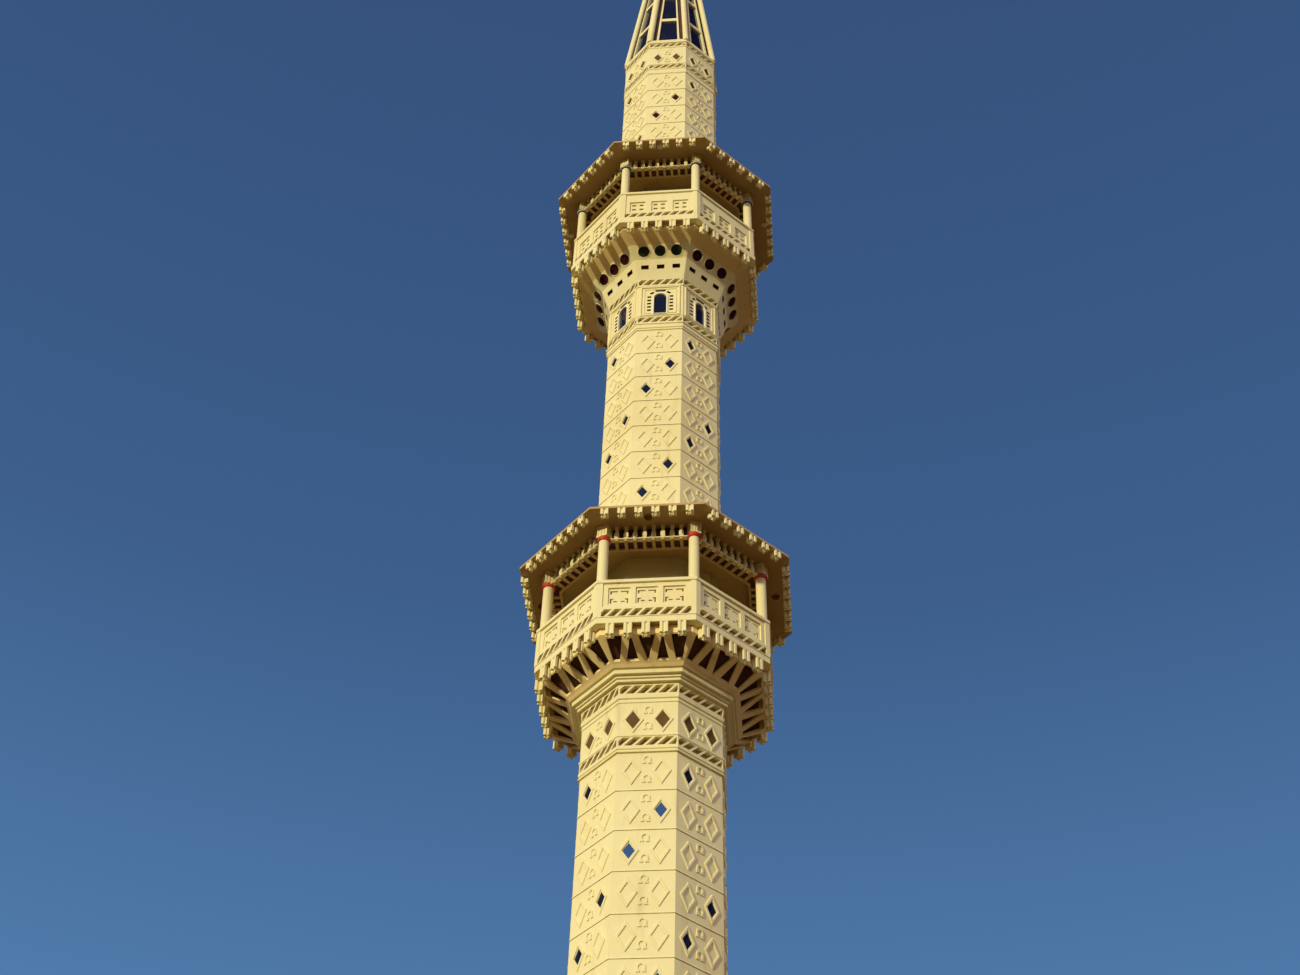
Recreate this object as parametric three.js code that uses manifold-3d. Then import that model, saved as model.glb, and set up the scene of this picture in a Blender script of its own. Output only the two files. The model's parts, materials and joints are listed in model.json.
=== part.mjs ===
// Octagonal minaret with two galleries, a glazed spire and a crescent, as a half-size model.
// Millimetres of the model, +Z up. The origin is in the middle of the flat underside of the base.
// The front face looks along -Y, and the doorways are on the back face.
import * as THREE from 'three';
import { mergeGeometries, mergeVertices } from 'three/addons/utils/BufferGeometryUtils.js';
import Module from 'manifold-3d';

const wasm = await Module();
wasm.setup();

// Driving dimensions. A width written as an apothem runs from the tower's axis to the middle of a face.
const sides = 8;
const gap = 0.3;
const past = 40;
const glassInset = 10;
const bite = 10;
const course = 483;
const topCourse = 500;
const apothem = { base: 940, lower: 748, upper: 730, top: 722 };
const inside = 632;
const archSteps = 8;

const base = {
  top: 2280, wall: 240, skirtTop: 180, skirtSlope: 25, skirtOut: 35, floor: 75, corniceTop: 2451,
};
const baseCornice = [[950, 0], [985, 50], [985, 90], [778, 171]];
const doorway = { width: 400, spring: 800, sill: 75 };
const galleryDoor = { width: 360, head: 900 };

const level = {
  lowerShaftTop: 12111,
  lowerBeltTop: 13010,
  lowerCorniceTop: 13177,
  upperShaftTop: 19209,
  windowBeltTop: 20302,
  coveTop: 20778,
  topShaftTop: 25920,
  topBeltTop: 26934,
};

const lowerGallery = {
  name: 'lower', slabBottom: 13450, railTop: 14069, soffit: 14954, shaft: apothem.upper,
  slabOut: 1295, parapetOut: 1290, columnRing: 1323, canopyOut: 1556,
};
const upperGallery = {
  name: 'upper', slabBottom: 20940, railTop: 21678, soffit: 22580, shaft: apothem.top,
  slabOut: 1300, parapetOut: 1272, columnRing: 1309, canopyOut: 1563,
};

const slab = { thick: 70 };
const slabDrops = { count: 5, pitch: 193, wide: 88, tall: 147, tip: 45, strip: 12 };
const parapet = {
  thick: 46, rail: 48, railOut: 12, railBack: 6, kerb: 130, kerbOut: 5, post: 120, postIn: 20,
  panels: 3, panelWide: 240, panelTall: 246, panelLift: 196, recess: 14,
};
const column = { radius: 59, ring: 80, ringTall: 66, ringSlope: 8, block: 134, facets: 8 };
const beam = {
  lift: 187, seat: 46, tall: 16, deep: 60, baluster: 48, balusterDeep: 40, balusterPitch: 104, balusters: 8,
};
const joist = { wide: 36, reach: 190, tall: 30, back: 4, tie: 26, tieLap: 6 };
const canopy = { edge: 26, rise: 93 };
const canopyDrops = { count: 6, pitch: 191, wide: 88, tall: 85, tip: 45, strip: 12 };

const corbel = {
  foot: 933, rim: 1205, rimBottom: 13352, rimWide: 65, thick: 52, back: 30,
  openings: [
    [[-441, 1190], [-262, 1190], [-300, 952], [-372, 952]],
    [[262, 1190], [441, 1190], [372, 952], [300, 952]],
    [[-97, 1190], [97, 1190], [8, 952], [-8, 952]],
    [[-176, 1190], [-166, 1190], [-95, 952], [-228, 952]],
    [[166, 1190], [176, 1190], [228, 952], [95, 952]],
  ],
};
const soffitRim = { out: 1206, bottom: 20886 };

const lozenge = { offset: 0.25, width: 124, height: 190 };
const lowerBelt = {
  face: 757, lozenge: { width: 150, height: 233, centre: 12540 },
  bands: [
    [12111, 12128, 770], [12128, 12150, 760], [12150, 12310, 766], [12310, 12330, 772],
    [12330, 12775, 757], [12775, 12800, 768], [12800, 12840, 774], [12840, 13010 - gap, 768],
  ],
};
const topBelt = {
  face: 727, lozenge: { width: 124, height: 205, centre: 26430 },
  bands: [
    [25920, 25990, 734], [25990, 26060, 728], [26060, 26220, 734], [26220, 26750, 727],
    [26750, 26800, 734], [26800, 26880, 738], [26880, 26934, 746],
  ],
};
const windowBelt = {
  foot: [[19209, 19254, 742], [19254, 19295, 752], [19295, 19499 - gap, 738]],
  wall: [[19499, 20172 - gap, 744]],
  head: [[20172, 20197, 758], [20197, 20302 - gap, 768]],
};
const lowerCornice = [
  [778, 13010], [778, 13021], [818, 13021], [818, 13056], [839, 13056], [839, 13085], [879, 13085],
  [879, 13144], [906, 13144],
];
const archedWindow = { width: 167, height: 453, bottom: 19535, glassLap: 40 };
const cove = {
  thick: 44, ledge: 20643, ledgeOut: 873, out: 1012, headThick: 62, back: 22, foot: 30,
  circle: 80, circlePitch: 227, glass: 18, slotWide: 104, slotTall: 67, slotLift: 165,
  slotPitch: 216, slotBack: 4, paneGap: 1,
};
const spire = {
  height: 7500, out: 745, sill: 60, ribRadius: 46, tipRadius: 74, glass: 12, glassTop: 33700,
  rungs: 3, rungPitch: 985, rung: 100, stand: 34, frameTall: 4600, headRail: 420, stileAt: 100, stile: 38,
  sillDeep: 105, ribSink: 18, ribStart: 20, ribEnd: 20, glassBack: 2,
};
const finial = {
  bottom: 34160, facets: 10, radius: 170, inner: 138, lift: 42, thick: 26, hornSteps: 14, sink: 20,
  stem: [
    [0, 0], [70, 0], [40, 45], [26, 90], [80, 170], [96, 230], [80, 290], [24, 360], [58, 430], [70, 480],
    [58, 530], [18, 590], [40, 640], [46, 672], [40, 704], [12, 750], [12, 800], [0, 800],
  ],
};

const half = Math.PI / sides;
const toCorner = 1 / Math.cos(half);
const slope = Math.tan(half);

// Colours of the painted concrete, glass and metal.
const paint = { color: 0xe9dba6, roughness: 0.75, metalness: 0 };
const shade = { color: 0xb59a68, roughness: 0.8, metalness: 0 };
const lining = { color: 0x4a2119, roughness: 0.85, metalness: 0 };
const glass = { color: 0x14183a, roughness: 0.15, metalness: 0 };
const gilt = { color: 0xb8923a, roughness: 0.35, metalness: 0.9 };

const tower = new THREE.Group();

// A closed solid from a three.js geometry: shared corners are joined and the faces point out.
function solid(geometry) {
  const source = geometry.clone();
  source.deleteAttribute('normal');
  source.deleteAttribute('uv');
  const merged = mergeVertices(source, 1e-3);
  const points = new Float32Array(merged.attributes.position.array);
  const corners = [];
  const index = merged.index.array;
  let volume = 0;
  const a = new THREE.Vector3();
  const b = new THREE.Vector3();
  const c = new THREE.Vector3();
  for (let i = 0; i < index.length; i += 3) {
    const [p, q, r] = [index[i], index[i + 1], index[i + 2]];
    if (p !== q && q !== r && r !== p) {
      corners.push(p, q, r);
      a.fromArray(points, p * 3);
      b.fromArray(points, q * 3);
      c.fromArray(points, r * 3);
      volume += a.dot(b.cross(c));
    }
  }
  if (volume < 0) {
    corners.reverse();
  }
  return new wasm.Manifold(new wasm.Mesh({
    numProp: 3, vertProperties: points, triVerts: new Uint32Array(corners),
  }));
}

function geometryOf(shape) {
  const result = shape.getMesh();
  const geometry = new THREE.BufferGeometry();
  geometry.setAttribute('position', new THREE.BufferAttribute(new Float32Array(result.vertProperties), 3));
  geometry.setIndex(new THREE.BufferAttribute(new Uint32Array(result.triVerts), 1));
  return geometry;
}

// Adds one named part to the tower.
function place(name, shape, finish) {
  const mesh = new THREE.Mesh(geometryOf(shape), new THREE.MeshStandardMaterial(finish));
  mesh.name = name;
  tower.add(mesh);
}

function turned(geometry, angle) {
  return geometry.clone().applyMatrix4(new THREE.Matrix4().makeRotationZ(angle));
}

// The same geometry on each of the eight faces, or at each of the eight corners.
function onFaces(geometry) {
  return Array.from({ length: sides }, (_, k) => turned(geometry, k * 2 * half));
}

function onCorners(geometry) {
  return Array.from({ length: sides }, (_, k) => turned(geometry, (k + 0.5) * 2 * half));
}

// A ring or block of eight flat sides whose section is a closed list of [apothem, height].
function octagon(section) {
  const points = section.map(([out, z]) => new THREE.Vector2(out * toCorner, z));
  const closed = section[0][0] > 0 ? [...points, points[0]] : points;
  const geometry = new THREE.LatheGeometry(closed, sides, half, 2 * Math.PI);
  return geometry.rotateX(Math.PI / 2);
}

// The section of a stepped moulding: bands are [bottom, top, apothem], read upwards.
function stepped(inner, bands) {
  const outline = [[inner, bands[0][0]]];
  for (const [bottom, top, out] of bands) {
    outline.push([out, bottom], [out, top]);
  }
  outline.push([inner, bands[bands.length - 1][1]]);
  return outline;
}

// A flat outline of [across, height], pushed through the front face from one depth to the other.
function through(outline, outer, inner) {
  const shape = new THREE.Shape(outline.map(([u, z]) => new THREE.Vector2(u, z)));
  const geometry = new THREE.ExtrudeGeometry(shape, { depth: outer - inner, bevelEnabled: false });
  return geometry.rotateX(Math.PI / 2).translate(0, -inner, 0);
}

// A flat outline of [across, outwards], raised from one height to the other.
function raised(outline, bottom, top) {
  const shape = new THREE.Shape(outline.map(([u, out]) => new THREE.Vector2(u, -out)));
  const geometry = new THREE.ExtrudeGeometry(shape, { depth: top - bottom, bevelEnabled: false });
  return geometry.translate(0, 0, bottom);
}

function box(width, depth, height, x, y, z) {
  return new THREE.BoxGeometry(width, depth, height).translate(x, y, z);
}

function lozengeOutline(u, z, width, height) {
  return [[u, z - height / 2], [u + width / 2, z], [u, z + height / 2], [u - width / 2, z]];
}

// A doorway or window outline with a round head, from its sill to its springing.
function archOutline(width, sill, spring, steps) {
  const outline = [[-width / 2, sill], [width / 2, sill]];
  for (let i = 0; i <= steps; i += 1) {
    const turn = (Math.PI * i) / steps;
    outline.push([(Math.cos(turn) * width) / 2, spring + (Math.sin(turn) * width) / 2]);
  }
  return outline;
}

function rectangle(left, right, low, high) {
  return [[left, low], [right, low], [right, high], [left, high]];
}

// Pierced lozenges of a shaft wind round it: each face opens one side of two courses in four.
function windingLozenges(face, { top, tall, courses, out }) {
  const wide = 2 * out * slope;
  const openings = [];
  const rightAt = face % 2 === 0 ? 2 : 0;
  const leftAt = face % 2 === 0 ? 3 : 1;
  for (let n = 1; n <= courses; n += 1) {
    const z = top - (n - 0.5) * tall;
    const side = n % 4 === rightAt ? 1 : n % 4 === leftAt ? -1 : 0;
    if (side !== 0) {
      openings.push(lozengeOutline(side * lozenge.offset * wide, z, lozenge.width, lozenge.height));
    }
  }
  return openings;
}

// The wedge of space that belongs to one face, a little narrower than an eighth.
function sector(face, bottom, top) {
  const reach = 2000;
  const start = gap / 2 / Math.sin(half);
  const outline = [[0, start], [reach * slope, start + reach], [-reach * slope, start + reach]];
  return solid(turned(raised(outline, bottom, top), face * 2 * half));
}

// Base: a thick octagonal wall with a plinth skirt, a floor and a moulded cap.
function buildBase() {
  const inner = apothem.base - base.wall;
  const shell = solid(octagon(stepped(inner, [
    [0, base.skirtTop, apothem.base + base.skirtOut],
    [base.skirtTop + base.skirtSlope, base.top, apothem.base],
  ])));
  const reach = apothem.base + base.skirtOut + past;
  const outline = archOutline(doorway.width, doorway.sill, doorway.spring, archSteps);
  const door = through(outline, reach, inner - past);
  place('base_wall', shell.subtract(solid(turned(door, Math.PI))), paint);
  const edge = inner - gap;
  place('base_floor', solid(octagon([[0, 0], [edge, 0], [edge, base.floor], [0, base.floor]])), shade);
  place('base_cornice', solid(octagon([
    [inside, base.top + gap],
    ...baseCornice.map(([out, rise]) => [out, base.top + Math.max(rise, gap)]),
    [inside, base.corniceTop],
  ])), paint);
}

// A shaft of eight wall panels that meet at mitred corners. A door, if any, is in the back panel.
function buildShaftWalls(name, { bottom, top, out, courses, door }) {
  const ring = solid(octagon(stepped(inside, [[bottom + gap, top - gap, out]])));
  for (let face = 0; face < sides; face += 1) {
    const wedge = sector(face, bottom, top);
    const cutters = shaftCutters(face, { top, tall: course, courses, out, door });
    place(`${name}_wall_${face + 1}`, ring.intersect(wedge).subtract(solid(together(cutters))), paint);
  }
}

// The openings of one face of a shaft: its lozenges, and its square-headed doorway on the back.
function shaftCutters(face, shaft) {
  const outlines = windingLozenges(face, shaft);
  if (face === sides / 2 && shaft.door) {
    const { width, sill, head } = shaft.door;
    outlines.push(rectangle(-width / 2, width / 2, sill, head));
  }
  const reach = shaft.out + past;
  return outlines.map((outline) => turned(through(outline, reach, inside - past), face * 2 * half));
}

// A belt of two pierced lozenges a face between moulded edges.
function buildLozengeBelt(name, belt) {
  const wide = 2 * belt.face * slope;
  const { width, height, centre } = belt.lozenge;
  const ring = solid(octagon(stepped(inside, belt.bands)));
  const pair = [-1, 1].map((side) => {
    const outline = lozengeOutline(side * lozenge.offset * wide, centre, width, height);
    return through(outline, belt.face + past, inside - past);
  });
  place(name, ring.subtract(solid(together(pair.flatMap(onFaces)))), paint);
}

// Zig-zag lattice that flares out to a rim under the lower gallery, and the dark lining behind it.
function buildCorbel() {
  const foot = level.lowerCorniceTop + gap;
  const head = lowerGallery.slabBottom - gap;
  const { foot: footOut, rim, rimBottom, rimWide, thick, back } = corbel;
  const pitch = (rimBottom - foot) / (rim - footOut);
  const rimIn = rim - rimWide;
  const openings = corbel.openings.map((outline) => raised(outline, foot - past, head + past));
  const plate = octagon([
    [footOut - thick, foot], [footOut, foot], [rim, rimBottom], [rim, head],
    [rimIn, head], [rimIn, foot + (rimIn - footOut + thick) * pitch],
  ]);
  place('lower_corbel_lattice', solid(plate).subtract(solid(together(openings.flatMap(onFaces)))), paint);
  const skin = rimIn - gap;
  const skinFoot = footOut - thick - back;
  place('lower_corbel_lining', solid(octagon([
    [skinFoot - thick, foot], [skinFoot, foot],
    [skin, foot + (skin - skinFoot) * pitch], [skin, foot + (skin - skinFoot + thick) * pitch],
  ])), lining);
}

// A strip under an edge, with a row of square drops with pointed feet on each of its sides.
function placeDrops(name, drops, edge, top) {
  const { count, pitch, wide, tall, tip, strip } = drops;
  const corner = wide * Math.SQRT1_2;
  const outline = [[0, -tall - tip], [corner, -tall], [corner, bite], [0, bite]];
  const row = [];
  for (let i = 0; i < count; i += 1) {
    const drop = new THREE.LatheGeometry(outline.map(([r, z]) => new THREE.Vector2(r, z)), 4, Math.PI / 4);
    drop.rotateX(Math.PI / 2).translate((i - (count - 1) / 2) * pitch, wide / 2 - edge, top - strip);
    row.push(drop);
  }
  const ring = solid(octagon(stepped(edge - wide, [[top - strip, top, edge]])));
  place(name, addAll(ring, row.flatMap(onFaces)), paint);
}

// Separate pieces, such as cutters that don't meet, as one geometry.
function together(geometries) {
  return mergeGeometries(geometries.map((one) => (one.index ? one.toNonIndexed() : one)));
}

function addAll(shape, geometries) {
  return geometries.reduce((whole, geometry) => whole.add(solid(geometry)), shape);
}

// One gallery: floor slab, pierced parapet, columns with ring capitals, joists, canopy and drops.
function buildGallery(g) {
  const floor = g.slabBottom + slab.thick;
  const slabSection = stepped(g.shaft + gap, [[g.slabBottom, floor - gap, g.slabOut]]);
  place(`${g.name}_floor_slab`, solid(octagon(slabSection)), paint);

  const back = g.parapetOut - parapet.thick;
  const railBottom = g.railTop - parapet.rail;
  let fence = solid(octagon([
    [back, floor],
    [g.parapetOut + parapet.kerbOut, floor],
    [g.parapetOut + parapet.kerbOut, floor + parapet.kerb],
    [g.parapetOut, floor + parapet.kerb],
    [g.parapetOut, railBottom],
    [g.parapetOut + parapet.railOut, railBottom],
    [g.parapetOut + parapet.railOut, g.railTop],
    [back - parapet.railBack, g.railTop],
    [back - parapet.railBack, railBottom],
    [back, railBottom],
  ]));
  const postTall = g.railTop - floor;
  const postOut = g.columnRing - parapet.postIn;
  const post = box(parapet.post, parapet.post, postTall, 0, -postOut, floor + postTall / 2);
  fence = addAll(fence, onCorners(post));
  const sideWide = 2 * g.parapetOut * slope;
  const panelPitch = (sideWide - parapet.post) / parapet.panels;
  const panelLow = floor + parapet.panelLift;
  const panelHigh = panelLow + parapet.panelTall;
  const recesses = [];
  for (let i = 0; i < parapet.panels; i += 1) {
    const u = (i - (parapet.panels - 1) / 2) * panelPitch;
    const w = parapet.panelWide / 2;
    const outline = rectangle(u - w, u + w, panelLow, panelHigh);
    recesses.push(through(outline, g.parapetOut + parapet.post, g.parapetOut - parapet.recess));
  }
  place(`${g.name}_parapet`, fence.subtract(solid(together(recesses.flatMap(onFaces)))), paint);

  const beamTop = g.soffit - beam.lift;
  const beamBottom = beamTop - beam.tall;
  const seat = beamTop - beam.seat;
  const beamMid = g.columnRing / toCorner;
  const profile = [
    [0, g.railTop + gap],
    [column.radius, g.railTop + gap],
    [column.radius, seat - column.ringSlope],
    [column.ring, seat + column.ringSlope],
    [column.ring, seat + column.ringTall - 2 * column.ringSlope],
    [column.radius, seat + column.ringTall],
    [0, seat + column.ringTall],
  ].map(([r, z]) => new THREE.Vector2(r, z));
  const pillar = new THREE.LatheGeometry(profile, column.facets).rotateX(Math.PI / 2);
  pillar.translate(0, -g.columnRing, 0);
  const blockBottom = seat + column.ringTall - bite;
  const blockTall = g.soffit - gap - blockBottom;
  const block = box(column.block, column.block, blockTall, 0, -g.columnRing, blockBottom + blockTall / 2);
  const beamRing = octagon([
    [beamMid - beam.deep / 2, beamBottom], [beamMid + beam.deep / 2, beamBottom],
    [beamMid + beam.deep / 2, beamTop], [beamMid - beam.deep / 2, beamTop],
  ]);
  const balusters = [];
  const joists = [];
  const balusterTall = g.soffit - gap - beamTop + bite;
  const joistOut = beamMid + beam.deep / 2 - joist.back;
  const joistTop = beamBottom - gap;
  for (let i = 0; i < beam.balusters; i += 1) {
    const u = (i - (beam.balusters - 1) / 2) * beam.balusterPitch;
    const balusterMid = beamTop - bite + balusterTall / 2;
    balusters.push(box(beam.baluster, beam.balusterDeep, balusterTall, u, -beamMid, balusterMid));
    const joistMid = joist.reach / 2 - joistOut;
    joists.push(box(joist.wide, joist.reach, joist.tall, u, joistMid, joistTop - joist.tall / 2));
  }
  const frame = addAll(solid(beamRing), [...onCorners(pillar), ...onCorners(block)]);
  place(`${g.name}_colonnade`, addAll(frame, balusters.flatMap(onFaces)), paint);

  const tieOut = joistOut - joist.reach + joist.tieLap;
  const tie = octagon(stepped(tieOut - joist.tie, [[joistTop - joist.tall, joistTop, tieOut]]));
  place(`${g.name}_joists`, addAll(solid(tie), joists.flatMap(onFaces)), shade);

  place(`${g.name}_canopy`, solid(octagon([
    [g.shaft + gap, g.soffit],
    [g.canopyOut, g.soffit],
    [g.canopyOut, g.soffit + canopy.edge],
    [g.shaft + gap, g.soffit + canopy.rise],
  ])), shade);

  placeDrops(`${g.name}_slab_drops`, slabDrops, g.slabOut, g.slabBottom - gap);
  placeDrops(`${g.name}_canopy_drops`, canopyDrops, g.canopyOut, g.soffit - gap);
}

// Belt of eight arched windows with the glass behind them, between a moulded foot and head.
function buildWindowBelt() {
  const { width, height, bottom, glassLap } = archedWindow;
  const top = bottom + height;
  const wall = solid(octagon(stepped(inside, windowBelt.wall)));
  const spring = top - width / 2;
  const arch = archOutline(width, bottom, spring, archSteps);
  const opening = through(arch, apothem.lower + past, inside - past);
  place('window_belt_foot', solid(octagon(stepped(inside, windowBelt.foot))), paint);
  place('window_belt_wall', wall.subtract(solid(together(onFaces(opening)))), paint);
  place('window_belt_head', solid(octagon(stepped(inside, windowBelt.head))), paint);
  const pane = stepped(inside - glassInset, [[bottom - glassLap, top + glassLap, inside - gap]]);
  place('window_glass', solid(octagon(pane)), glass);
}

// Cove that spreads from the window belt to the upper gallery, with round and square lights.
function buildCove() {
  const { thick, ledge, ledgeOut, out, back, slotWide, slotTall } = cove;
  const foot = level.windowBeltTop;
  const head = level.coveTop - gap;
  const headIn = out - cove.headThick;
  const shell = solid(octagon([
    [apothem.top + gap, foot], [apothem.top + thick, foot], [ledgeOut, ledge], [out, head],
    [headIn, head], [ledgeOut - thick, ledge + back], [apothem.top + gap, foot + cove.foot],
  ]));
  const rise = level.coveTop - ledge;
  const run = out - ledgeOut;
  const tilt = Math.atan2(rise, run);
  const slotLow = foot + cove.slotLift;
  const slotHigh = slotLow + slotTall;
  const cutters = [];
  for (const i of [-1, 0, 1]) {
    const light = new THREE.CylinderGeometry(cove.circle, cove.circle, thick * 4, sides);
    light.rotateX(tilt - Math.PI);
    light.translate(i * cove.circlePitch, -(ledgeOut + run / 2), ledge + rise / 2);
    cutters.push(light);
    const left = i * cove.slotPitch - slotWide / 2;
    const slot = rectangle(left, left + slotWide, slotLow, slotHigh);
    cutters.push(through(slot, ledgeOut + past, apothem.top + cove.slotBack));
  }
  place('upper_cove', shell.subtract(solid(together(cutters.flatMap(onFaces)))), paint);
  const paneFoot = ledge + back + 2 * cove.paneGap;
  const lowSkin = ledgeOut - thick - cove.paneGap;
  const highSkin = headIn - cove.paneGap;
  place('cove_glass', solid(octagon([
    [lowSkin, paneFoot], [highSkin, head],
    [highSkin - cove.glass, head], [lowSkin - cove.glass, paneFoot],
  ])), lining);
  place('upper_soffit', solid(octagon([
    [apothem.top + gap, level.coveTop], [out, level.coveTop],
    [soffitRim.out, soffitRim.bottom], [soffitRim.out, upperGallery.slabBottom - gap],
    [apothem.top + gap, upperGallery.slabBottom - gap],
  ])), paint);
}

// Spire: eight round ribs, framed panels of dark glass and a collar that carries the finial.
function buildSpire() {
  const foot = level.topBeltTop + gap;
  const ribRing = spire.out * toCorner - spire.ribRadius + spire.ribSink;
  const stop = finial.bottom;
  const ringAt = (z) => ribRing * (1 - (z - foot) / spire.height);
  const ribTop = stop - spire.ribEnd;
  const line = new THREE.LineCurve3(new THREE.Vector3(0, -ribRing, foot + spire.ribStart),
    new THREE.Vector3(0, -ringAt(ribTop), ribTop));
  const circle = new THREE.Path().absarc(0, 0, spire.ribRadius, 0, 2 * Math.PI).getPoints(4);
  const section = new THREE.Shape(circle.slice(0, sides));
  const rib = new THREE.ExtrudeGeometry(section, { steps: 1, bevelEnabled: false, extrudePath: line });
  const sill = octagon(stepped(spire.out - spire.sillDeep, [[foot, foot + spire.sill, spire.out]]));
  const { tipRadius, sill: collarTall } = spire;
  const collarFoot = stop - collarTall;
  const collar = octagon([[0, collarFoot], [tipRadius, collarFoot], [tipRadius, stop], [0, stop]]);
  const frame = addAll(solid(sill).add(solid(collar)), onCorners(rib));

  const glassOut = (z) => (ringAt(z) - spire.ribRadius - spire.glassBack) / toCorner;
  const low = foot + spire.sill + gap;
  const high = spire.glassTop;
  place('spire_glass', solid(octagon([
    [glassOut(low) - spire.glass, low], [glassOut(low), low],
    [glassOut(high), high], [glassOut(high) - spire.glass, high],
  ])), glass);

  // Frame of each face: two stiles that stand on the sill beside the ribs, and rungs between them.
  const start = low - bite / 5;
  const below = start - bite;
  const end = low + spire.frameTall;
  const above = end + past;
  const faceHalf = (z) => spire.out * slope * (1 - (z - foot) / spire.height);
  const skin = octagon([
    [glassOut(start) + gap, start], [glassOut(start) + spire.stand, start],
    [glassOut(end) + spire.stand, end], [glassOut(end) + gap, end],
  ]);
  const stileOut = (z) => faceHalf(z) - spire.stileAt;
  const stileIn = (z) => Math.max(stileOut(z) - spire.stile, 1);
  const beyond = spire.out * slope + past;
  const cuts = [-1, 1].map((side) => [
    [side * stileOut(below), below], [side * beyond, below],
    [side * beyond, above], [side * stileOut(above), above],
  ]);
  for (let i = 0; i <= spire.rungs; i += 1) {
    const from = i === 0 ? below : foot + i * spire.rungPitch + spire.rung / 2;
    const to = Math.min(foot + (i + 1) * spire.rungPitch - spire.rung / 2, end - spire.headRail);
    cuts.push([[-stileIn(from), from], [stileIn(from), from], [stileIn(to), to], [-stileIn(to), to]]);
  }
  const cutters = cuts.map((outline) => through(outline, spire.out + past, bite));
  const plate = solid(skin).intersect(sector(0, below, above));
  const face = geometryOf(plate.subtract(solid(together(cutters))));
  place('spire_frame', addAll(frame, onFaces(face)), paint);
}

// Gilt finial: balls of falling size on a stem, and a crescent with its horns up.
function buildFinial() {
  const z0 = finial.bottom + gap;
  const outline = finial.stem.map(([r, z]) => new THREE.Vector2(r, z0 + z));
  const stem = new THREE.LatheGeometry(outline, finial.facets);
  const stemTall = finial.stem[finial.stem.length - 1][1];
  const { radius, inner, lift, thick, hornSteps: steps } = finial;
  const hornZ = (radius ** 2 - inner ** 2 + lift ** 2) / (2 * lift);
  const outerTurn = Math.asin(hornZ / radius);
  const innerTurn = Math.asin((hornZ - lift) / inner);
  const points = [];
  for (let i = 0; i <= steps; i += 1) {
    const turn = Math.PI - outerTurn + ((Math.PI + 2 * outerTurn) * i) / steps;
    points.push([radius * Math.cos(turn), radius * Math.sin(turn)]);
  }
  for (let i = 1; i < steps; i += 1) {
    const turn = innerTurn - ((Math.PI + 2 * innerTurn) * i) / steps;
    points.push([inner * Math.cos(turn), lift + inner * Math.sin(turn)]);
  }
  const centre = z0 + stemTall + radius - finial.sink;
  const moon = through(points.map(([u, z]) => [u, centre + z]), thick / 2, -thick / 2);
  place('finial', solid(stem.rotateX(Math.PI / 2)).add(solid(moon)), gilt);
}

// Top shaft in one ring, with its doorway to the upper gallery.
function buildTopShaft() {
  const { topShaftTop: top, windowBeltTop: bottom } = level;
  const ring = solid(octagon(stepped(inside, [[bottom, top - gap, apothem.top]])));
  const shaft = { top, tall: topCourse, courses: 6, out: apothem.top, door: galleryDoorway(upperGallery) };
  const cutters = [];
  for (let face = 0; face < sides; face += 1) {
    cutters.push(...shaftCutters(face, shaft));
  }
  place('top_shaft', ring.subtract(solid(together(cutters))), paint);
}

function galleryDoorway(g) {
  const sill = g.slabBottom + slab.thick;
  return { width: galleryDoor.width, sill, head: sill + galleryDoor.head };
}

buildBase();
buildShaftWalls('lower_shaft', {
  bottom: base.corniceTop, top: level.lowerShaftTop, out: apothem.lower, courses: 20, door: null,
});
buildLozengeBelt('lower_belt', lowerBelt);
place('lower_cornice', solid(octagon([
  [inside, level.lowerBeltTop], ...lowerCornice,
  [corbel.foot, level.lowerCorniceTop], [inside, level.lowerCorniceTop],
])), paint);
buildCorbel();
buildShaftWalls('upper_shaft', {
  bottom: level.lowerCorniceTop, top: level.upperShaftTop, out: apothem.upper, courses: 8,
  door: galleryDoorway(lowerGallery),
});
buildGallery(lowerGallery);
buildWindowBelt();
buildCove();
buildGallery(upperGallery);
buildTopShaft();
buildLozengeBelt('top_belt', topBelt);
buildSpire();
buildFinial();

export default tower;
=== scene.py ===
# Octagonal minaret with two galleries, dressed over its frame. Metres, +Z up, the front face looks along -Y.
import json
from math import atan2, cos, hypot, pi, radians, sin, tan

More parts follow.
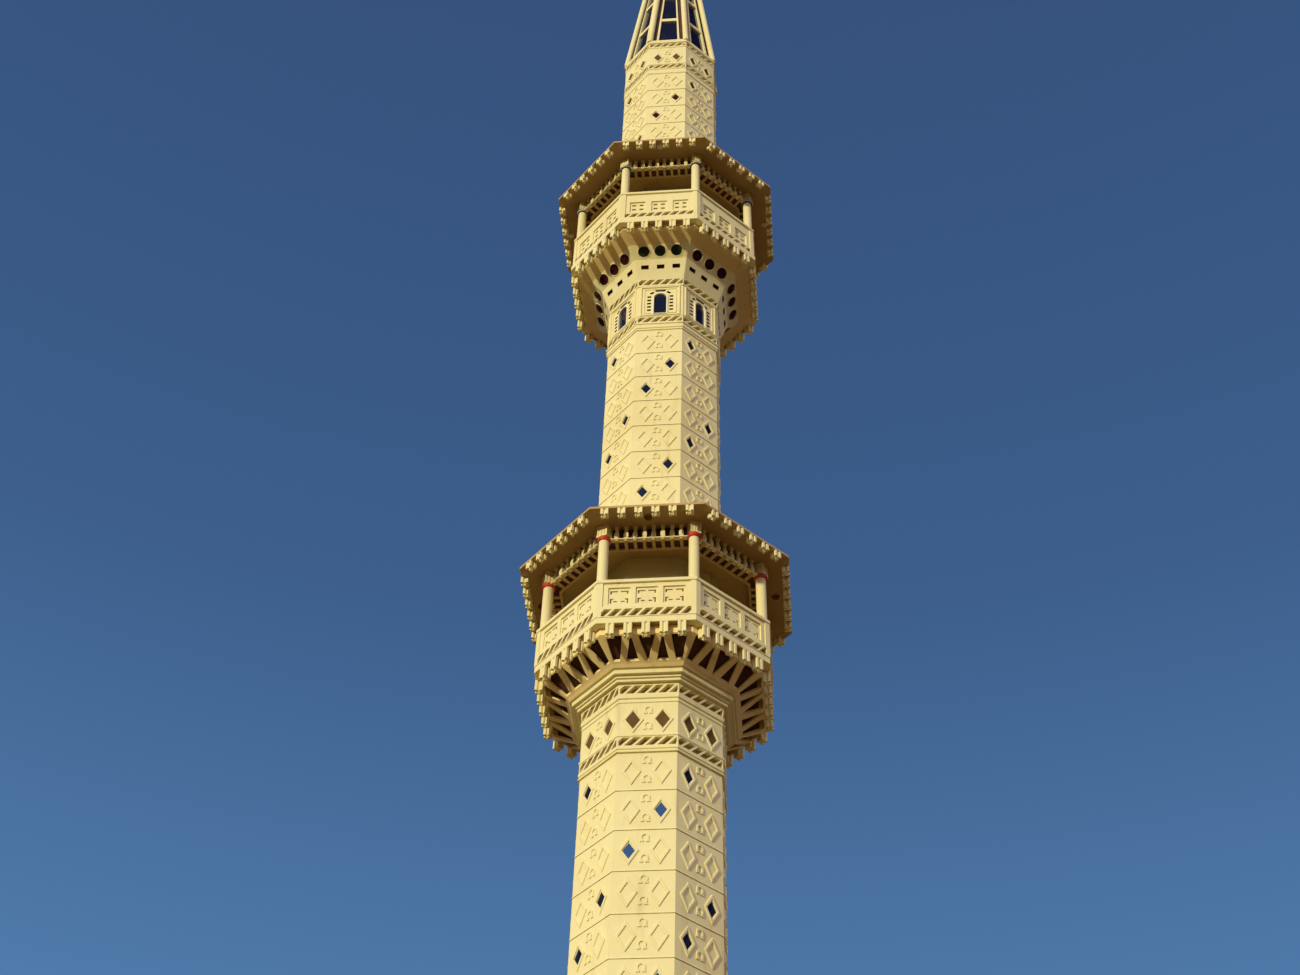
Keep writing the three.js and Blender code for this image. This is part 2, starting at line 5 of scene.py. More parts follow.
import bmesh
import bpy
from mathutils import Matrix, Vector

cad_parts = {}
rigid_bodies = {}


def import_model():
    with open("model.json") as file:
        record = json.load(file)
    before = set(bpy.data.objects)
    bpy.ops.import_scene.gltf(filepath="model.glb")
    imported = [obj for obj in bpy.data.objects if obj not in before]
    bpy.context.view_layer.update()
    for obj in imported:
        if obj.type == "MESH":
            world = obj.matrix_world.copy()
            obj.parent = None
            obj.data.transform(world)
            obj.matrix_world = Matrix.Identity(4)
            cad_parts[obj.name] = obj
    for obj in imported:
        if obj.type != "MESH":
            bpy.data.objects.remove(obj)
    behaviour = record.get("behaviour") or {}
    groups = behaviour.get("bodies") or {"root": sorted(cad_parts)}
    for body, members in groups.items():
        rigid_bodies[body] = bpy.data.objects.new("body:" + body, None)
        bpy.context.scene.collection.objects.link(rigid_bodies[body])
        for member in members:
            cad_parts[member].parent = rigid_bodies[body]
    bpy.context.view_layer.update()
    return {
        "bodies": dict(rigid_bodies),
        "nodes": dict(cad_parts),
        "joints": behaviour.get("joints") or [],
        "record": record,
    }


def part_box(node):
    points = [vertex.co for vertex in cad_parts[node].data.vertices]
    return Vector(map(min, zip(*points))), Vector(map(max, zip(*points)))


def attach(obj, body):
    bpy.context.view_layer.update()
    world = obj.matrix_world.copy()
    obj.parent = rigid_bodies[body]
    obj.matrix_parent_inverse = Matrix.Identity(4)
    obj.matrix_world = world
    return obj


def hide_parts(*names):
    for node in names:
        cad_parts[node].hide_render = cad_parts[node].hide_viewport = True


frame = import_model()
nodes = frame["nodes"]
scene = bpy.context.scene
print("frame loaded:", len(nodes), "nodes")

faceCount = 8
halfFace = pi / faceCount
toCorner = 1 / cos(halfFace)
slope = tan(halfFace)
embed = 0.004  # how far an applied ornament is let into its wall
hair = 0.0003  # gap between pieces that would otherwise share a plane
soft = 0.004   # bevel along the edge of a moulding or an ornament
fine = 0.003   # the same on a small part


# Camera, where the photographer stood, and the light

shot = dict(
    place=(1.4475, -14.931, 0.8), yaw=6.06, pitch=47.05, roll=1.82, lens=48.41, sensor=36, reach=300,
)
light = dict(
    left=30, up=12, sun=2.65, sunColour=(1.0, 0.93, 0.60), sunPlace=(-20, -30, 20), softness=2.5,
    fill=(0.68, 0.62, 0.74), glare=11.0, ground=(0.112, 0.068, 0.030), dim=(0.006, 0.008, 0.022),
    floor=(0.62, 0.58, 0.52), floorWorn=(0.55, 0.52, 0.47), floorWide=160, floorDrop=0.002,
)
skyColours = [(0.45, (0.088, 0.212, 0.432)), (0.68, (0.047, 0.114, 0.262)), (0.88, (0.037, 0.084, 0.205))]
skyEdges = dict(
    ground=(-0.05, 0.15), glareLow=(0.42, 0.52), glareHigh=(0.64, 0.75), behind=(-0.55, -0.15),
)


def setCamera():
    bpy.ops.object.camera_add()
    camera = bpy.context.object
    camera.name = "photo_camera"
    camera.data.lens = shot["lens"]
    camera.data.sensor_width = shot["sensor"]
    camera.data.clip_end = shot["reach"]
    place = Matrix.Translation(shot["place"])
    for degrees, axis in ((shot["yaw"], "Z"), (90 + shot["pitch"], "X"), (shot["roll"], "Z")):
        place = place @ Matrix.Rotation(radians(degrees), 4, axis)
    camera.matrix_world = place
    scene.camera = camera


def setLight():
    bpy.ops.object.light_add(type="SUN", location=light["sunPlace"])
    sun = bpy.context.object
    sun.name = "low_sun"
    sun.data.energy = light["sun"]
    sun.data.color = light["sunColour"]
    sun.data.angle = radians(light["softness"])
    sun.rotation_euler = (radians(90 - light["up"]), 0, -radians(light["left"]))
    scene.world = eveningSky()
    scene.view_settings.view_transform = "Standard"
    bpy.ops.mesh.primitive_plane_add(size=light["floorWide"], location=(0, 0, -light["floorDrop"]))
    floor = bpy.context.object
    floor.name = "studio_floor"
    floor.data.materials.append(newFinish("pale_floor", light["floor"], 0.9,
                                          [(light["floorWorn"], (0.4, 3), 0.3, 0.7, 0.15)]))
    floor.visible_diffuse = False  # the floor neither lights the soffits from below nor shows in the glass
    floor.visible_glossy = False


# A blue gradient for the eye. Glass sees it as a bright window ahead, dim to the sides and overhead.
# Painted walls get an even fill from above and little from the ground.
def eveningSky():
    world = bpy.data.worlds.new("evening_sky")
    world.use_nodes = True
    tree = world.node_tree
    towards = addNode(tree, "TexCoord")
    split = addNode(tree, "SeparateXYZ", {"Vector": towards.outputs["Generated"]}).outputs
    gradient = addNode(tree, "ValToRGB", {"Fac": split["Z"]})
    gradient.color_ramp.elements.new(0.5)
    for element, (height, colour) in zip(gradient.color_ramp.elements, skyColours):
        element.position = height
        element.color = (*colour, 1)
    sky, dim = gradient.outputs["Color"], light["dim"]
    mirrored = addColour(tree, sky, (light["glare"],) * 3, 1.0, "MULTIPLY")
    mirrored = addColour(tree, mirrored, dim, addRange(tree, split["Z"], *skyEdges["glareHigh"]))
    mirrored = addColour(tree, dim, mirrored, addRange(tree, split["Z"], *skyEdges["glareLow"]))
    mirrored = addColour(tree, mirrored, dim, addRange(tree, split["Y"], *skyEdges["behind"]))
    filled = addColour(tree, light["ground"], light["fill"], addRange(tree, split["Z"], *skyEdges["ground"]))
    ray = addNode(tree, "LightPath").outputs
    seen = addColour(tree, filled, mirrored, ray["Is Glossy Ray"])
    seen = addColour(tree, seen, sky, ray["Is Camera Ray"])
    feed(tree, tree.nodes["Background"], {"Color": seen})
    return world


# Materials

# Sets each input to a value or links it to an output.
def feed(tree, node, inputs):
    for name, value in inputs.items():
        if isinstance(value, bpy.types.NodeSocket):
            tree.links.new(value, node.inputs[name])
        else:
            node.inputs[name].default_value = value


def addNode(tree, kind, inputs={}):
    node = tree.nodes.new("ShaderNode" + kind)
    feed(tree, node, inputs)
    return node


# Noise on the piece's own coordinates, stretched to make blotches, streaks or grain.
def addNoise(tree, scale, detail=4.0, rough=0.55, stretch=(1, 1, 1)):
    place = addNode(tree, "TexCoord")
    mapping = addNode(tree, "Mapping", {"Vector": place.outputs["Object"], "Scale": stretch})
    noise = addNode(tree, "TexNoise", {"Vector": mapping.outputs["Vector"], "Scale": scale, "Detail": detail,
                                       "Roughness": rough})
    return noise.outputs["Fac"]


# A value between low and high of the input becomes 0 to most.
def addRange(tree, value, low, high, most=1.0):
    span = addNode(tree, "MapRange", {"Value": value, "From Min": low, "From Max": high, "To Max": most})
    span.interpolation_type = "SMOOTHSTEP"
    return span.outputs["Result"]


def noiseRange(tree, noise, low, high, most):
    return addRange(tree, addNoise(tree, *noise), low, high, most)


# Lays one colour over what is there already, as far as the amount says.
def addColour(tree, under, over, amount, blend="MIX"):
    mix = addNode(tree, "Mix")
    mix.data_type = "RGBA"
    mix.blend_type = blend
    under, over = ((*colour, 1) if isinstance(colour, tuple) else colour for colour in (under, over))
    feed(tree, mix, {"Factor": amount, "A": under, "B": over})
    return mix.outputs["Result"]


# A finish: colours over the base, then uneven gloss and bumps. A layer has its colour, its noise (scale, detail,
# roughness, stretch), the range of the noise that it lies in, and its strength.
def newFinish(name, base, roughness, layers, bumps=(), gloss=None, more={}):
    material = bpy.data.materials.new(name)
    material.use_nodes = True
    tree = material.node_tree
    shader = tree.nodes["Principled BSDF"]
    feed(tree, shader, {"Base Color": (*base, 1), "Roughness": roughness, **more})
    colour = base
    for over, *cover in layers:
        colour = addColour(tree, colour, over, noiseRange(tree, *cover))
    feed(tree, shader, {"Base Color": colour})
    if gloss:
        least, *cover = gloss
        total = addNode(tree, "Math", {0: noiseRange(tree, *cover), 1: least})
        total.operation = "ADD"
        feed(tree, shader, {"Roughness": total.outputs["Value"]})
    normal = {}
    for noise, strength, distance in bumps:
        height = addNoise(tree, *noise)
        bump = addNode(tree, "Bump", {"Height": height, "Strength": strength, "Distance": distance, **normal})
        normal = {"Normal": bump.outputs["Normal"]}
    feed(tree, shader, normal)
    return material


# Masonry paint: blotches, rain streaks, specks of grime and bloom, then roller grain over slight hollows.
def masonryPaint(name, base, warm, dirt, pale, roughness, blotch, streak, speck, bloom):
    return newFinish(name, base, roughness, [
        (warm, (0.9, 5), 0.40, 0.72, blotch),
        (dirt, (5.5, 4, 0.6, (1.6, 1.6, 0.14)), 0.54, 0.76, streak),
        (dirt, (38, 3, 0.7), 0.62, 0.78, speck),
        (pale, (3.1, 6, 0.6), 0.55, 0.75, bloom),
    ], [((9, 3), 0.35, 0.004), ((170, 5, 0.7), 0.45, 0.0012)], (roughness - 0.07, (11, 3), 0.3, 0.7, 0.14))


# Dark glass with faint dust and the slight waves of a rolled pane.
def darkGlass(name, base, dustColour, roughness, dust, smear):
    return newFinish(name, base, roughness, [(dustColour, (6, 6, 0.65, (1, 1, 0.35)), 0.45, 0.8, dust)],
                     [((4, 2), 0.12, 0.004)], (roughness, (14, 4), 0.35, 0.75, smear),
                     {"IOR": 1.52, "Coat Weight": 0.15, "Coat Roughness": 0.05})


# Gloss paint on small turned parts, chipped and sun faded.
def glossPaint(name, base, faded, chip):
    return newFinish(name, base, 0.42, [(faded, (7, 4), 0.4, 0.7, 0.55), (chip, (60, 5, 0.7), 0.66, 0.70, 0.8)],
                     [((90, 4), 0.3, 0.001)])


# Masonry paints: base, warm, dirty and pale colour, roughness, then blotches, streaks, specks and bloom
paints = {
    "cream_masonry_paint": [
        (0.83, 0.74, 0.39), (0.76, 0.63, 0.29), (0.42, 0.30, 0.13), (0.87, 0.80, 0.50),
        0.78, 0.55, 0.30, 0.18, 0.45],
    # Brown soffit paint: painted shade, the cream paint darkened to its tone in shadow under soffits, joists,
    # ties, coffers and lamp bases
    "brown_soffit_paint": [
        (0.50, 0.33, 0.13), (0.42, 0.26, 0.10), (0.20, 0.12, 0.05), (0.60, 0.43, 0.20),
        0.82, 0.7, 0.2, 0.3, 0.4],
    # Dark lining: painted shade, near black, for slots, narrow gaps, the boards behind the balusters and the
    # linings behind the lattice and the cove lights
    "dark_lining_boards": [
        (0.075, 0.022, 0.012), (0.11, 0.035, 0.015), (0.02, 0.008, 0.006), (0.14, 0.06, 0.03),
        0.8, 0.8, 0.5, 0.3, 0.3],
    # Brown hollow boards: painted shade for pocket floors, the boards inside open lozenges, the window slots and
    # the lower gallery's lamps
    "brown_hollow_boards": [
        (0.125, 0.062, 0.004), (0.09, 0.04, 0.004), (0.05, 0.02, 0.004), (0.16, 0.09, 0.01),
        0.85, 0.7, 0.4, 0.3, 0.3],
    # Olive recess paint: painted shade, cream paint as dark as it looks on the floor of a shallow pocket in part
    # shadow
    "olive_recess_paint": [
        (0.30, 0.205, 0.06), (0.22, 0.14, 0.035), (0.08, 0.045, 0.015), (0.42, 0.31, 0.11),
        0.85, 0.7, 0.4, 0.3, 0.4],
    # Golden paint: partly the mouldings' own golden colour, partly painted shade on the down-facing cornice faces
    # and the upper soffit
    "golden_masonry_paint": [
        (0.80, 0.61, 0.27), (0.72, 0.50, 0.19), (0.38, 0.24, 0.09), (0.85, 0.70, 0.36),
        0.78, 0.6, 0.3, 0.2, 0.45],
    "pale_golden_lattice_paint": [
        (0.93, 0.74, 0.35), (0.87, 0.64, 0.27), (0.38, 0.24, 0.09), (0.85, 0.70, 0.36),
        0.78, 0.6, 0.3, 0.2, 0.45],
    "white_trim_paint": [
        (0.84, 0.77, 0.56), (0.80, 0.68, 0.42), (0.45, 0.36, 0.22), (0.88, 0.83, 0.66),
        0.7, 0.4, 0.2, 0.2, 0.4],
}
# Glass: base and dust colour, roughness, and how far dust and smears show
glasses = {
    "navy_window_glass": [(0.010, 0.014, 0.045), (0.05, 0.05, 0.09), 0.05, 0.25, 0.06],
    "maroon_light_glass": [(0.045, 0.006, 0.006), (0.10, 0.025, 0.02), 0.16, 0.35, 0.2],
    "green_light_glass": [(0.022, 0.030, 0.005), (0.07, 0.075, 0.012), 0.16, 0.4, 0.2],
}
# Gloss paints: base and faded colour, and what shows where they chip
glosses = {
    "red_ring_paint": [(0.55, 0.035, 0.012), (0.68, 0.12, 0.04), (0.6, 0.45, 0.28)],
    "navy_ring_paint": [(0.012, 0.02, 0.09), (0.05, 0.07, 0.16), (0.5, 0.45, 0.36)],
    "white_ring_paint": [(0.72, 0.70, 0.66), (0.6, 0.56, 0.48), (0.4, 0.34, 0.26)],
}

creamPaint, soffitShadePaint, shadeLining, hollowShadeBoard, recessShadePaint, goldAndShadePaint, latticePaint, whitePaint = (
    masonryPaint(name, *look) for name, look in paints.items())
paneGlass, maroonGlass, greenGlass = (darkGlass(name, *look) for name, look in glasses.items())
redGloss, navyGloss, whiteGloss = (glossPaint(name, *look) for name, look in glosses.items())
# Gilt sheet metal, brighter where it is rubbed and browner where it is weathered
gilt = newFinish("weathered_gilt", (0.78, 0.52, 0.16), 0.45, [((0.32, 0.17, 0.05), (5, 6, 0.6), 0.42, 0.7, 0.7)],
                 [((12, 3), 0.25, 0.004)], (0.0, (22, 4), 0.2, 0.8, 0.5), {"Metallic": 1.0})
print("materials made")


# Working helpers

def only(*pieces):
    bpy.ops.object.select_all(action="DESELECT")
    for piece in pieces:
        piece.select_set(True)
    bpy.context.view_layer.objects.active = pieces[0]


def applyPlace(piece):
    only(piece)
    bpy.ops.object.transform_apply(location=True, rotation=True, scale=True)
    return piece


# The primitive just added, scaled and painted, with its place in its mesh.
def taken(paint=None, scale=(1, 1, 1)):
    piece = bpy.context.object
    piece.scale = scale
    if paint:
        piece.data.materials.append(paint)
    return applyPlace(piece)


def smooth(degrees):
    bpy.ops.object.shade_smooth_by_angle(angle=radians(degrees))


def pickAll():
    bpy.ops.mesh.select_all(action="SELECT")


def startEdit(piece):
    only(piece)
    bpy.ops.object.mode_set(mode="EDIT")
    bpy.ops.mesh.select_mode(type="VERT")
    pickAll()


def endEdit():
    bpy.ops.object.mode_set(mode="OBJECT")


def faceOutwards():
    pickAll()
    bpy.ops.mesh.normals_make_consistent(inside=False)


# Cuts off what lies past a plane and closes the cut.
def cutPast(place, normal):
    pickAll()
    bpy.ops.mesh.bisect(plane_co=place, plane_no=normal, use_fill=True, clear_outer=True)


# Selects what passes the test: "verts", "edges" or "faces" of the mesh in edit mode.
def pick(piece, kind, test):
    bpy.ops.mesh.select_mode(type=kind[:-1].upper())
    bpy.ops.mesh.select_all(action="DESELECT")
    mesh = bmesh.from_edit_mesh(piece.data)
    for part in getattr(mesh, kind):
        if test(part):
            part.select_set(True)
    mesh.select_flush_mode()
    bmesh.update_edit_mesh(piece.data)


def addBox(width, depth, height, place, paint=creamPaint):
    bpy.ops.mesh.primitive_cube_add(size=1, location=place)
    return taken(paint, (width, depth, height))


def addCylinder(sides, radius, height, place, paint=creamPaint, turn=(0, 0, 0)):
    bpy.ops.mesh.primitive_cylinder_add(vertices=sides, radius=radius, depth=height, location=place,
                                        rotation=turn)
    return taken(paint)


def addRing(radius, thick, sides, place, paint):
    bpy.ops.mesh.primitive_torus_add(major_segments=28, minor_segments=sides, major_radius=radius,
                                     minor_radius=thick, location=place)
    ring = taken(paint)
    bpy.ops.object.shade_smooth()
    return ring


def applied(piece, kind, **settings):
    modifier = piece.modifiers.new(kind, kind)
    for name, value in settings.items():
        setattr(modifier, name, value)
    only(piece)
    bpy.ops.object.modifier_apply(modifier=kind)
    return piece


def chamfer(piece, width):
    return applied(piece, "BEVEL", width=width, segments=1, limit_method="ANGLE")


def discard(piece):
    bpy.data.objects.remove(piece)


def cutAway(piece, cutter):
    applied(piece, "BOOLEAN", operation="DIFFERENCE", solver="EXACT", material_mode="TRANSFER", object=cutter)
    discard(cutter)
    return piece


def shifted(piece, move=(0, 0, 0), turn=0.0):
    piece.data.transform(Matrix.Rotation(turn, 4, "Z") @ Matrix.Translation(move))
    return piece


def copyOf(piece, move=(0, 0, 0), turn=0.0):
    other = piece.copy()
    other.data = piece.data.copy()
    scene.collection.objects.link(other)
    return shifted(other, move, turn)


# Copies of a piece, one for each move, in place of the piece itself.
def spread(piece, moves, turn=0.0):
    copies = [copyOf(piece, move, turn) for move in moves]
    discard(piece)
    return copies


def joined(pieces):
    only(*pieces)
    if len(pieces) > 1:
        bpy.ops.object.join()
    return bpy.context.object


def inRow(piece, count, pitch):
    return joined(spread(piece, [((i - (count - 1) / 2) * pitch, 0, 0) for i in range(count)]))


def bothSides(across, up=0):
    return [(side * across, 0, up) for side in (-1, 1)]


# The same piece on each face of the octagon, or half a face on, at each corner.
def roundFaces(piece, skip=(), halves=0):
    copies = [copyOf(piece, turn=(2 * k + halves) * halfFace) for k in range(faceCount) if k not in skip]
    discard(piece)
    return joined(copies)


# A ring of eight flat sides: a circle of eight points, extruded and scaled up its section and closed.
def octagonRing(section, paint=creamPaint):
    out, up = section[0]
    bpy.ops.mesh.primitive_circle_add(vertices=faceCount, radius=out * toCorner, location=(0, 0, up),
                                      rotation=(0, 0, halfFace))
    piece = taken(paint)
    startEdit(piece)
    for (outBefore, upBefore), (out, up) in zip(section, section[1:]):
        bpy.ops.mesh.extrude_edges_move(TRANSFORM_OT_translate={"value": (0, 0, up - upBefore)})
        grow = out / outBefore
        bpy.ops.transform.resize(value=(grow, grow, 1), center_override=(0, 0, up))
    last = len(section) * faceCount - faceCount
    pick(piece, "verts", lambda point: point.index < faceCount or point.index >= last)
    bpy.ops.mesh.bridge_edge_loops()
    faceOutwards()
    endEdit()
    return piece


# Extrudes a flat shape upwards or down in steps, each of them scaled.
def stepped(piece, steps):
    startEdit(piece)
    for rise, grow in steps:
        bpy.ops.mesh.extrude_region_move(TRANSFORM_OT_translate={"value": (0, 0, rise)})
        bpy.ops.transform.resize(value=(grow, grow, 1))
    faceOutwards()
    endEdit()
    return piece


# A second paint, on the faces that pass the test.
def paintFaces(piece, paint, test):
    piece.data.materials.append(paint)
    for face in piece.data.polygons:
        if test(face):
            face.material_index = 1


# A copy of a frame node, its loose triangles merged into flat faces.
def copyNode(name, paint=creamPaint):
    piece = copyOf(nodes[name])
    piece.parent = None
    for key in list(piece.keys()):
        del piece[key]
    piece.data.materials.clear()
    piece.data.materials.append(paint)
    startEdit(piece)
    bpy.ops.mesh.remove_doubles(threshold=0.00005)
    bpy.ops.mesh.dissolve_limited(angle_limit=radians(0.5))
    endEdit()
    return piece


def settle(piece, name, *stoodFor, slot="cream_paint"):
    piece.name = name
    piece.data.name = name
    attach(piece, "root")
    if stoodFor:
        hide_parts(*stoodFor)
    print("made", name, "with", len(piece.data.polygons), "faces")


# A flat sheet of a given outline on the front face, ready to be inset or extruded.
def sheetOn(out, width, height, middle):
    bpy.ops.mesh.primitive_plane_add(size=1, location=(0, -out, middle), rotation=(pi / 2, 0, 0))
    return taken(scale=(width, height, 1))


def archOn(out, width, low, high):
    piece = sheetOn(out, width, high - low, (low + high) / 2)
    startEdit(piece)
    pick(piece, "verts", lambda point: point.co.z > (low + high) / 2)
    bpy.ops.mesh.bevel(affect="VERTICES", offset=width / 2 - 0.0002, segments=8)  # just short of meeting
    endEdit()
    return piece


def lozengeOn(out, width, height, middle=0.0):
    bpy.ops.mesh.primitive_circle_add(vertices=4, radius=0.5, fill_type="NGON", location=(0, -out, middle),
                                      rotation=(pi / 2, 0, 0))
    return taken(scale=(width, height, 1))


# Raises a sheet into a slab, or into a frame if the bar is given.
def raiseSheet(piece, relief, paint=creamPaint, bar=0.0, soften=0.0):
    piece.data.materials.append(paint)
    startEdit(piece)
    if bar:
        bpy.ops.mesh.select_mode(type="FACE")
        bpy.ops.mesh.inset(thickness=bar)
        bpy.ops.mesh.delete(type="FACE")
        pickAll()
    bpy.ops.mesh.extrude_region_move(TRANSFORM_OT_translate={"value": (0, -relief, 0)})
    faceOutwards()
    if soften:
        front = min(point.co.y for point in bmesh.from_edit_mesh(piece.data).verts) + 0.0001
        pick(piece, "edges", lambda edge: all(point.co.y < front for point in edge.verts))
        bpy.ops.mesh.bevel(offset=soften, segments=1, affect="EDGES")
    endEdit()
    return piece


# A cutter for a pocket on the front face: its sides leave paint behind and its far end the back colour, a darker
# paint that is painted shade at the bottom of the pocket.
def pocket(width, height, deep, out, across, middle, paint=creamPaint, back=hollowShadeBoard):
    start = 0.05
    piece = addBox(width, deep + start, height, (across, -out + (deep - start) / 2, middle), paint)
    paintFaces(piece, back, lambda face: face.normal.y > 0.9)
    return piece


# A row of leaning pockets that make a band look like rope, cut off short of the corners.
def ropePockets(rope, out, low, high, reach):
    # The pocket floors take the olive recess paint: painted shade.
    single = pocket(rope["wide"], high - low, rope["deep"], out, 0, (low + high) / 2, creamPaint, recessShadePaint)
    lean = rope["lean"] * (high - low)
    startEdit(single)
    pick(single, "verts", lambda point: point.co.z > (low + high) / 2)
    bpy.ops.transform.translate(value=(lean, 0, 0))
    pickAll()
    bpy.ops.transform.translate(value=(rope["shift"] - lean / 2, 0, 0))
    endEdit()
    row = inRow(single, rope["count"], rope["pitch"])
    startEdit(row)
    for side in (1, -1):
        cutPast((side * reach, 0, 0), (side, 0, 0))
    endEdit()
    return roundFaces(row)


# Shaft blocks: two lozenge frames and two small scrolls on every block, with a fine joint under each course

blockLook = dict(
    frame=(0.200, 0.336), bar=0.027, relief=0.012, offset=0.25,
    scrollRadius=0.036, stroke=0.018, scrollRelief=0.010, scrollOpen=66, stretch=1.28,
    foot=0.036, footTall=1.2, footOut=0.010, footSink=0.0015, scrollSteps=10,
    scrollUp=(0.31, -0.19), joint=0.010, jointDeep=0.004, jointOver=0.02, lip=0.005,
    lipTall=0.010, lipSink=0.002, paneDeep=0.012, paneThick=0.008,
)
openLozenge = (0.124, 0.190)  # width and height


# Small scroll: a stroke spun round most of a circle, standing on two feet turned out.
def scrollOn(out):
    look = blockLook
    radius, relief = look["scrollRadius"], look["scrollRelief"] + embed
    start = -radians(90 - look["scrollOpen"] / 2)
    middle = -out + embed - relief / 2
    bpy.ops.mesh.primitive_plane_add(size=1, location=(radius * cos(start), middle, radius * sin(start)),
                                     rotation=(0, -start, 0))
    stroke = taken(creamPaint, (look["stroke"], relief, 1))
    startEdit(stroke)
    turn = radians(360 - look["scrollOpen"])
    bpy.ops.mesh.spin(steps=look["scrollSteps"], angle=turn, center=(0, -out, 0), axis=(0, 1, 0))
    pickAll()
    bpy.ops.transform.resize(value=(1, 1, look["stretch"]), center_override=(0, -out, 0))
    faceOutwards()
    endEdit()
    low = radius * sin(start) * look["stretch"]
    feet = [addBox(look["foot"], relief, look["stroke"] * look["footTall"],
                   (side * (radius * cos(start) + look["footOut"]), middle + look["footSink"], low))
            for side in (-1, 1)]
    return joined([stroke, *feet])


# How far the lozenges of a face stand to its left and right.
def lozengeAcross(out):
    return blockLook["offset"] * 2 * out * slope


# The raised ornament of one block, about its middle.
def blockOrnament(out, tall, frame=blockLook["frame"]):
    look = blockLook
    lozenge = raiseSheet(lozengeOn(out - embed, *frame), look["relief"] + embed, bar=look["bar"], soften=soft)
    parts = spread(lozenge, bothSides(lozengeAcross(out)))
    return joined(parts + spread(scrollOn(out), [(0, 0, up * tall) for up in look["scrollUp"]]))


def lozengePane(out, width, height, paint):
    return raiseSheet(lozengeOn(out - blockLook["paneDeep"], width, height), blockLook["paneThick"], paint)


# Which side of a block is open: the openings wind up the shaft, two courses in every four.
def openSide(face, row):
    rightAt, leftAt = ((2, 3), (0, 1))[face % 2]
    return {rightAt: 1, leftAt: -1}.get(row % 4, 0)


def jointPlaces(shaft):
    return [(0, 0, shaft["top"] - n * shaft["course"]) for n in range(1, shaft["courses"] + 1)]


# The joints of one face, cut into its wall.
def cutJoints(wall, face, shaft):
    look, out = blockLook, shaft["out"]
    groove = addBox(2 * out * slope + look["jointOver"], 2 * look["jointDeep"], look["joint"], (0, -out, 0))
    return cutAway(wall, joined(spread(groove, jointPlaces(shaft), 2 * face * halfFace)))


# Thin drip edge over each joint, all round the shaft.
def courseLips(shaft):
    look = blockLook
    back, front = shaft["out"] - look["lipSink"], shaft["out"] + look["lip"]
    foot, tall = look["joint"] / 2, look["lipTall"]
    single = octagonRing([(back, foot), (front, foot), (front, foot + tall), (back, foot + 2 * tall)])
    return joined(spread(single, jointPlaces(shaft)))


def shaftFacts(node, course, courses):
    low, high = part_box(node)
    return {"out": -low.y, "top": round(high.z, 3), "course": course, "courses": courses}


# Joints and ornament on each wall, course by course, and panes in its open lozenges.
# The walls list their node, the piece that takes its place, and the faces that it covers.
def dressShaft(name, shaft, glass, walls):
    ornament = blockOrnament(shaft["out"], shaft["course"])
    single = lozengePane(shaft["out"], *openLozenge, glass)
    panes = []
    for node, pieceName, faces in walls:
        parts = [copyNode(node)]
        for face in faces:
            cutJoints(parts[0], face, shaft)
            turn = 2 * face * halfFace
            for row in range(1, shaft["courses"] + 1):
                z = shaft["top"] - (row - 0.5) * shaft["course"]
                parts.append(copyOf(ornament, (0, 0, z), turn))
                side = openSide(face, row)
                if side:
                    panes.append(copyOf(single, (side * lozengeAcross(shaft["out"]), 0, z), turn))
        settle(joined(parts), pieceName, node)
    discard(ornament)
    discard(single)
    settle(joined(panes), f"{name}_panes", slot="dark_glass")
    settle(courseLips(shaft), f"{name}_drip_edges")


lowerShaft = shaftFacts("lower_shaft_wall_1", 0.483, 20)
upperShaft = shaftFacts("upper_shaft_wall_1", 0.483, 8)
topShaft = shaftFacts("top_shaft", 0.500, 6)
for name, shaft in (("lower_shaft", lowerShaft), ("upper_shaft", upperShaft)):
    dressShaft(name, shaft, paneGlass,
               [(f"{name}_wall_{face + 1}", f"{name}_face_{face + 1}", [face]) for face in range(faceCount)])
dressShaft("top_shaft", topShaft, maroonGlass, [("top_shaft", "top_shaft_faces", range(faceCount))])


# Belts: rope bands above and below a row of open lozenges

shaftRope = dict(wide=0.083, pitch=0.1155, count=9, lean=0.95, deep=0.045, shift=-0.040)
cornerStrip = 0.012
wallInside = 0.632
bore = dict(start=wallInside - 0.05, deep=0.25)  # cutter of an opening that goes right through the wall

lowerBelt = dict(
    bands=[(0.748, 12.111), (0.768, 12.113), (0.770, 12.128), (0.757, 12.132, 12.150),
           (0.768, 12.156, 12.190), (0.762, 12.194, 12.316), (0.770, 12.320, 12.344),
           (0.757, 12.350, 12.768), (0.766, 12.774, 12.794), (0.759, 12.798, 12.820),
           (0.773, 12.828, 12.880), (0.766, 12.886), (0.778, 13.0095)],
    ropes=[(0.762, 12.202, 12.306), (0.770, 12.897, 12.997)],
    face=0.757, middle=12.540, open=(0.150, 0.233), frame=(0.226, 0.352), blockTall=0.42,
)
topBelt = dict(
    bands=[(0.722, 25.920), (0.734, 25.930, 25.985), (0.727, 25.992, 26.055), (0.736, 26.062, 26.084),
           (0.730, 26.088, 26.206), (0.737, 26.210, 26.228), (0.727, 26.234, 26.745),
           (0.735, 26.752, 26.776), (0.731, 26.780, 26.888), (0.746, 26.894, 26.934)],
    ropes=[(0.730, 26.096, 26.196), (0.731, 26.790, 26.878)],
    face=0.727, middle=26.430, open=(0.124, 0.205), frame=(0.196, 0.324), blockTall=0.46,
)


